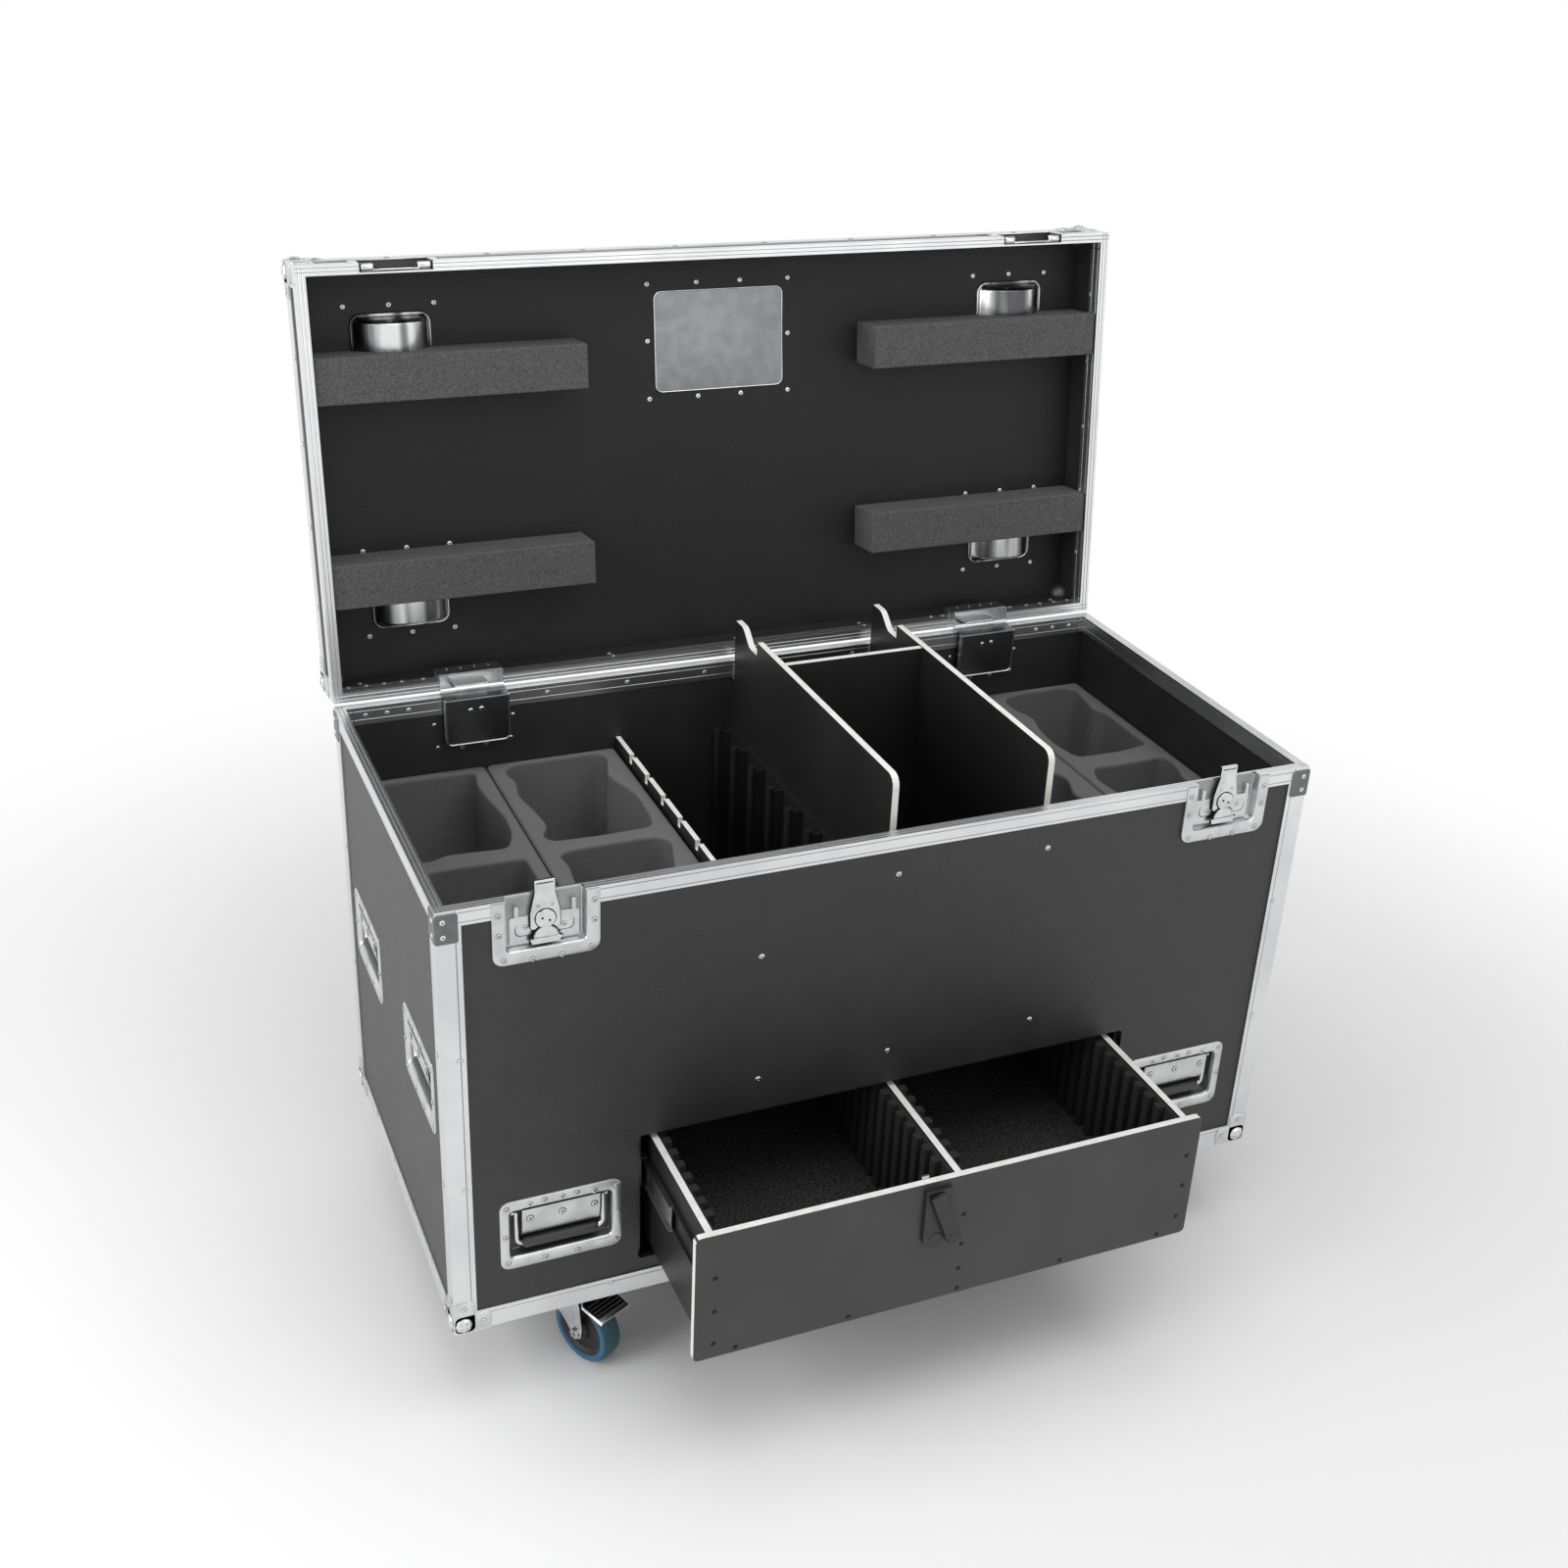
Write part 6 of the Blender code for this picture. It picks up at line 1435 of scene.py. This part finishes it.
class CASE_OT_lid_fittings(bpy.types.Operator):
    """Make the lid's board, castor cups, label dish and strikes"""

    bl_idname = "case.lid_fittings"
    bl_label = "Lid fittings"

    def execute(self, context):
        cups, spots = [], []
        loops = [rounded_loop(1.1954, 0.5794, 0.0005, 2, 24)]
        for side in (-1, 1):
            for level in CUP_LEVELS.values():
                centre = (side * CUP_X, level)
                cups.append(placed(wheel_cup(), (*centre, 0)))
                loops.append(rounded_loop(0.1092, 0.1024, 0.0145, 6, 6, centre))
                beside = [(x, y) for x in (-0.061, 0.0, 0.061) for y in (-0.061, 0.061)]
                spots += [(centre[0] + x, level + y) for x, y in beside]
        loops.append(rounded_loop(0.1975, 0.1425, 0.01, 6, 6, LABEL))
        walls = [[level_loop(loop, level) for level in (LID_BOARD, LID_OUTER)] for loop in loops]
        board = filled(walls, both=True)
        facing = laminate("lid_laminate", (0.0062, 0.0062, 0.0064), 0.42, 0.34)
        label = plain("label_steel", (0.24, 0.243, 0.248), 0.46, 0.85, 0.00005)
        make("castor_cups", opened(merged(*cups)), drawn_steel(), "lid", ("lid_panel",), 60)
        make("lid_board", opened(board), facing, "lid", ("lid_panel",))
        make("label_dish", opened(label_dish()), label, "lid", ("lid_panel",), 50)
        trim = level_loop(rounded_loop(0.1948, 0.1398, 0.01, 8, 12, LABEL), LID_BOARD - 0.0012)
        make("label_edge", opened(hoop(trim, 0.0009)), bright(), "lid")

        strikes = []
        for middle in (-LATCH_X, LATCH_X):
            for near, far in ((-0.0465, -0.0285), (0.0285, 0.0465)):
                low, high = (middle + near, -0.2912, 0.6242), (middle + far, -0.2818, 0.633)
                strikes.append(block(low, high, 0.0022))
            low, high = (middle - 0.023, -0.2842, 0.6246), (middle + 0.023, -0.2816, 0.629)
            strikes.append(block(low, high, 0.001))
        make("lid_strikes", opened(merged(*strikes)), bright(), "lid", sharp=50)

        rows = (HALF_Y - 0.373, HALF_Y - 0.533)
        spots += [(x, y) for x in (-0.107, -0.033, 0.033, 0.107) for y in rows]
        spots += [(x, HALF_Y - 0.4545) for x in (-0.108, 0.107)]
        inside = rivets([(x, y, LID_BOARD) for x, y in spots], (0, 0, -1), 0.0036, 0.0015)
        outside = rivets([(x, y, LID_OUTER + 0.0018) for x, y in spots], (0, 0, 1), 0.0036, 0.001)
        make("lid_inner_rivets", opened(inside), rivet_metal(), "lid")
        make("lid_outer_rivets", opened(outside), rivet_metal(), "lid")
        return {"FINISHED"}


def wheel_shapes(count):
    """The tyre and the wheel centre as profiles turned about the axle, each the same on both sides."""

    def both_sides(half):
        half = np.array(half)
        return turned_ring(np.concatenate([half * (1, -1), half[::-1]]), count)

    tyre = both_sides([
        (0.0372, 0.0105), (0.04, 0.015), (0.0445, 0.0158), (0.0472, 0.0146), (0.048, 0.0136),
        (0.0494, 0.01), (0.05, 0.005),
    ])
    hub = both_sides([
        (0.0044, 0.0188), (0.0128, 0.0188), (0.0136, 0.018), (0.0146, 0.01), (0.02, 0.0078),
        (0.031, 0.008), (0.034, 0.0128), (0.0372, 0.014), (0.0398, 0.0132),
    ])
    # The tread's points get a shade of 1, which makes the colour darker there.
    dark_tread = np.hypot(tyre[0][:, 0], tyre[0][:, 2]) > 0.0479
    return shaded(tyre, dark_tread.astype(float)), hub


def fork_shape():
    """Swivel races, a crown plate, two tapered side plates with pressed ribs, and the axle with its nuts."""
    race = spun([(0.027, 0.0), (0.0278, 0.001), (0.0278, 0.0048), (0.026, 0.0058)], 40, "Z")
    loop = rounded_loop(0.066, 0.0446, 0.007, 6, 0)
    levels = ((0.97, CROWN), (1.0, CROWN + 0.0005), (1.0, CROWN + 0.0022), (0.97, CROWN + 0.0026))
    axle, low = AXLE[0], AXLE[2]
    parts = [
        placed(race, (0, 0, CROWN)),
        surface([level_loop(loop * scale, level) for scale, level in levels]),
        placed(spun([(0.0038, -0.0262), (0.0038, 0.0262)], 20), AXLE),
    ]
    angle = np.radians(np.linspace(196, 344, 13))
    foot = np.stack([axle + 0.01 * np.cos(angle), low + 0.01 * np.sin(angle)], -1)
    back = np.array([
        (-0.032, CROWN + 0.001), (-0.033, CROWN - 0.02), (-0.029, -0.045), (0.015, -0.08),
    ])
    ahead = np.array([
        (0.047, -0.08), (0.042, -0.045), (0.034, CROWN - 0.008), (0.032, CROWN + 0.001),
    ])
    outline = np.concatenate([back, foot, ahead])
    angle = np.radians(np.arange(-60, 300, 60))
    hexagon = np.stack([axle + 0.0078 * np.cos(angle), low + 0.0078 * np.sin(angle)], -1)
    for side in (-1, 1):
        parts.append(plate(outline, side * 0.0197, side * 0.0221, 0.0005))
        parts.append(plate(outline * 0.72 + outline.mean(0) * 0.28, side * 0.0219, side * 0.0227, 0.0006))
        parts.append(plate(hexagon, side * 0.0225, side * 0.0262, 0.0005))
    return merged(*parts)


def pedal_shape():
    """The brake pedal: a neck and a dark tread plate with turned-down bright edges, ridges and a pin."""
    top, fall = -0.025, 0.012 / 0.072
    along = 0.016 + np.linspace(0, 1, 9) * 0.0745
    level = top - fall * (along - 0.018)
    half = np.where(along > 0.051, 0.027, 0.0182)
    across = np.array([-1.0, -0.96, -0.9, 0.9, 0.96, 1.0])
    drop = np.array([-0.004, -0.0012, 0.0, 0.0, -0.0012, -0.004])
    outer = np.stack(
        [np.broadcast_to(along[:, None], (9, 6)), half[:, None] * across, level[:, None] + drop], -1
    )
    inner = outer[:, ::-1] * (1, 0.955, 1) - np.array([0, 0, 0.0018])
    dark_tread = np.zeros((9, 12))
    dark_tread[1:8, 2:4] = 1.0
    parts = [shaded(surface(np.concatenate([outer, inner], axis=1)), dark_tread.reshape(-1))]
    angle = around(8)
    ring = np.stack([np.cos(angle), np.zeros(8), np.sin(angle)], -1) * 0.001
    for offset in (0.06, 0.066, 0.072, 0.078, 0.084):
        rise = top - fall * (offset - 0.018) + 0.0004
        ridge = np.array([(offset, side, rise) for side in (-0.022, 0.0, 0.022)])
        parts.append(shaded(surface(ridge[:, None] + ring), 0.8))
    parts.append(placed(spun([(0.002, -0.0192), (0.002, 0.0192)], 16), (0.018, 0, -0.02625)))
    return merged(*parts)


class CASE_OT_castors(bpy.types.Operator):
    """Make the castors with their tyres, forks and brakes"""

    bl_idname = "case.castors"
    bl_label = "Castors"

    def execute(self, context):
        blue = tyre_rubber(tuple(settings().tyre_colour))
        dark = plain("black_rubber", (0.013, 0.013, 0.014), 0.55, 0.0, 0.0002)
        tyre, hub = wheel_shapes(settings().roundness)
        for name, (side_x, side_y) in CASTORS.items():
            wheel, fork, pedal = f"castor_wheel_{name}", f"castor_fork_{name}", f"brake_pedal_{name}"
            pieces = [
                (f"tyre_{name}", placed(tyre, AXLE), blue, wheel, (wheel,), "tyre"),
                (f"hub_{name}", placed(hub, AXLE), dark, wheel, (), "black"),
                (f"fork_{name}", fork_shape(), bright(), fork, (fork,), "steel"),
                (f"pedal_{name}", pedal_shape(), bright(), pedal, (pedal,), "steel"),
            ]
            place = (side_x * CASTOR_X, side_y * CASTOR_Y, 0)
            for piece, shape, finish, body, nodes, slot in pieces[: 4 if side_y < 0 else 3]:
                make(piece, placed(shape, place, CASTOR_HEADING), finish, body, nodes)
        return {"FINISHED"}


# Stage


def make_floor():
    """A wide pale floor that camera and mirror rays see as white away from the shadow."""
    points = [[(-9, -9, FLOOR), (9, -9, FLOOR)], [(-9, 9, FLOOR), (9, 9, FLOOR)]]
    verts, faces = surface(points, False, (False, False))
    mesh = bpy.data.meshes.new("floor")
    mesh.from_pydata(verts.tolist(), [], faces)
    floor = bpy.data.objects.new("floor", mesh)
    bpy.context.scene.collection.objects.link(floor)
    finish = Finish("floor", (0.86, 0.86, 0.86), 0.9, 0.0, 0.1)
    x, y, _ = finish.place()
    far = (x * x + y * y).math("SQRT").ramp(0.9, 2.2)
    camera, glossy, clear = finish.rays()
    lit = (camera + glossy + clear).math("MINIMUM", 1.0).math("MAXIMUM", 0.75)
    glow = finish.node("ShaderNodeEmission", None, {"Color": (1, 1, 1), "Strength": lit})
    inputs = {0: far, 1: finish.shader.outputs[0], 2: glow.outputs[0]}
    mixed = finish.node("ShaderNodeMixShader", None, inputs)
    finish.set(finish.tree.nodes["Material Output"], {"Surface": mixed.outputs[0]})
    mesh.materials.append(finish.material)


def make_world():
    """White to the camera and in reflections, and a softer light on the object."""
    world = bpy.data.worlds.new("studio")
    world.use_nodes = True
    net = Net(world.node_tree)
    camera, glossy, clear = net.rays()
    up = net.axes(net.node("ShaderNodeTexCoord").outputs["Generated"])[2]
    mirrored = glossy * (1 - up.ramp(0.5, 0.85) * 0.75)
    strength = mirrored.math("MAXIMUM", camera).math("MAXIMUM", clear).math("MAXIMUM", (1 - glossy) * 0.5)
    net.set(net.tree.nodes["Background"], {"Color": (1, 1, 1), "Strength": strength})
    bpy.context.scene.world = world


def stand(name, data, across, up, away, location):
    """An object whose own X, Y and Z axes point along the given directions."""
    item = bpy.data.objects.new(name, data)
    matrix = np.eye(4)
    matrix[:3] = np.stack([across, up, away, location], -1)
    item.matrix_world = Matrix(matrix.tolist())
    bpy.context.scene.collection.objects.link(item)
    return item


def make_lights():
    """Large soft boxes over and beside the case."""
    lights = (
        ("top_box", (0.2, -0.6, 3.0), (0.0, 0.0, 0.3), 2.6, 44.0),
        ("left_box", (-3.0, -0.3, 1.6), (-0.2, 0.0, 0.3), 2.4, 60.0),
        ("front_box", (1.4, -3.4, 2.2), (0.0, 0.0, 0.3), 2.2, 12.0),
    )
    for name, location, target, size, energy in lights:
        lamp = bpy.data.lights.new(name, "AREA")
        lamp.shape = "SQUARE"
        lamp.size = size
        lamp.energy = energy
        away = unit(np.subtract(location, target))
        across = unit(np.cross((0, 0, 1), away))
        stand(name, lamp, across, np.cross(away, across), away, location)


def make_camera():
    """The camera stands where the photograph's perspective puts it."""
    yaw, pitch, roll = (math.radians(angle) for angle in (23.97665, 26.83405, 2.63274))
    ahead = np.array([math.sin(yaw) * math.cos(pitch), math.cos(yaw) * math.cos(pitch), -math.sin(pitch)])
    across = unit(np.cross(ahead, (0, 0, 1)))
    up = np.cross(across, ahead)
    turned = across * math.cos(roll) + up * math.sin(roll)
    lifted = -across * math.sin(roll) + up * math.cos(roll)
    lens = bpy.data.cameras.new("camera")
    lens.sensor_width = 36.0
    lens.lens = 43.354
    bpy.context.scene.camera = stand("camera", lens, turned, lifted, -ahead, (-0.98643, -2.1112, 1.72644))


class CASE_OT_stage(bpy.types.Operator):
    """Make the floor, the lights and the camera"""

    bl_idname = "case.stage"
    bl_label = "Stage"

    def execute(self, context):
        make_floor()
        make_world()
        make_lights()
        make_camera()
        context.scene.view_settings.view_transform = "Standard"
        return {"FINISHED"}


class CASE_PT_panel(bpy.types.Panel):
    """The case's pieces"""

    bl_idname = "CASE_PT_panel"
    bl_label = "Charging flight case"
    bl_space_type = "VIEW_3D"
    bl_region_type = "UI"
    bl_category = "Case"

    def draw(self, context):
        for name in CaseSettings.__annotations__:
            self.layout.prop(context.scene.flight_case, name)
        for operator in OPERATORS:
            self.layout.operator(operator.bl_idname)


OPERATORS = (
    CASE_OT_stage, CASE_OT_frame, CASE_OT_boards, CASE_OT_small_metal, CASE_OT_corners, CASE_OT_rivets,
    CASE_OT_latches, CASE_OT_handles, CASE_OT_hinges, CASE_OT_inserts, CASE_OT_lid_foam,
    CASE_OT_drawer_lining, CASE_OT_drawer_latch, CASE_OT_lid_fittings, CASE_OT_castors,
)
CLASSES = (CaseSettings, *OPERATORS, CASE_PT_panel)


def register():
    for item in CLASSES:
        bpy.utils.register_class(item)
    bpy.types.Scene.flight_case = PointerProperty(type=CaseSettings)


def unregister():
    del bpy.types.Scene.flight_case
    for item in reversed(CLASSES):
        bpy.utils.unregister_class(item)


def main():
    register()
    for operator in OPERATORS:
        group, name = operator.bl_idname.split(".")
        getattr(getattr(bpy.ops, group), name)()


if __name__ == "__main__":
    main()
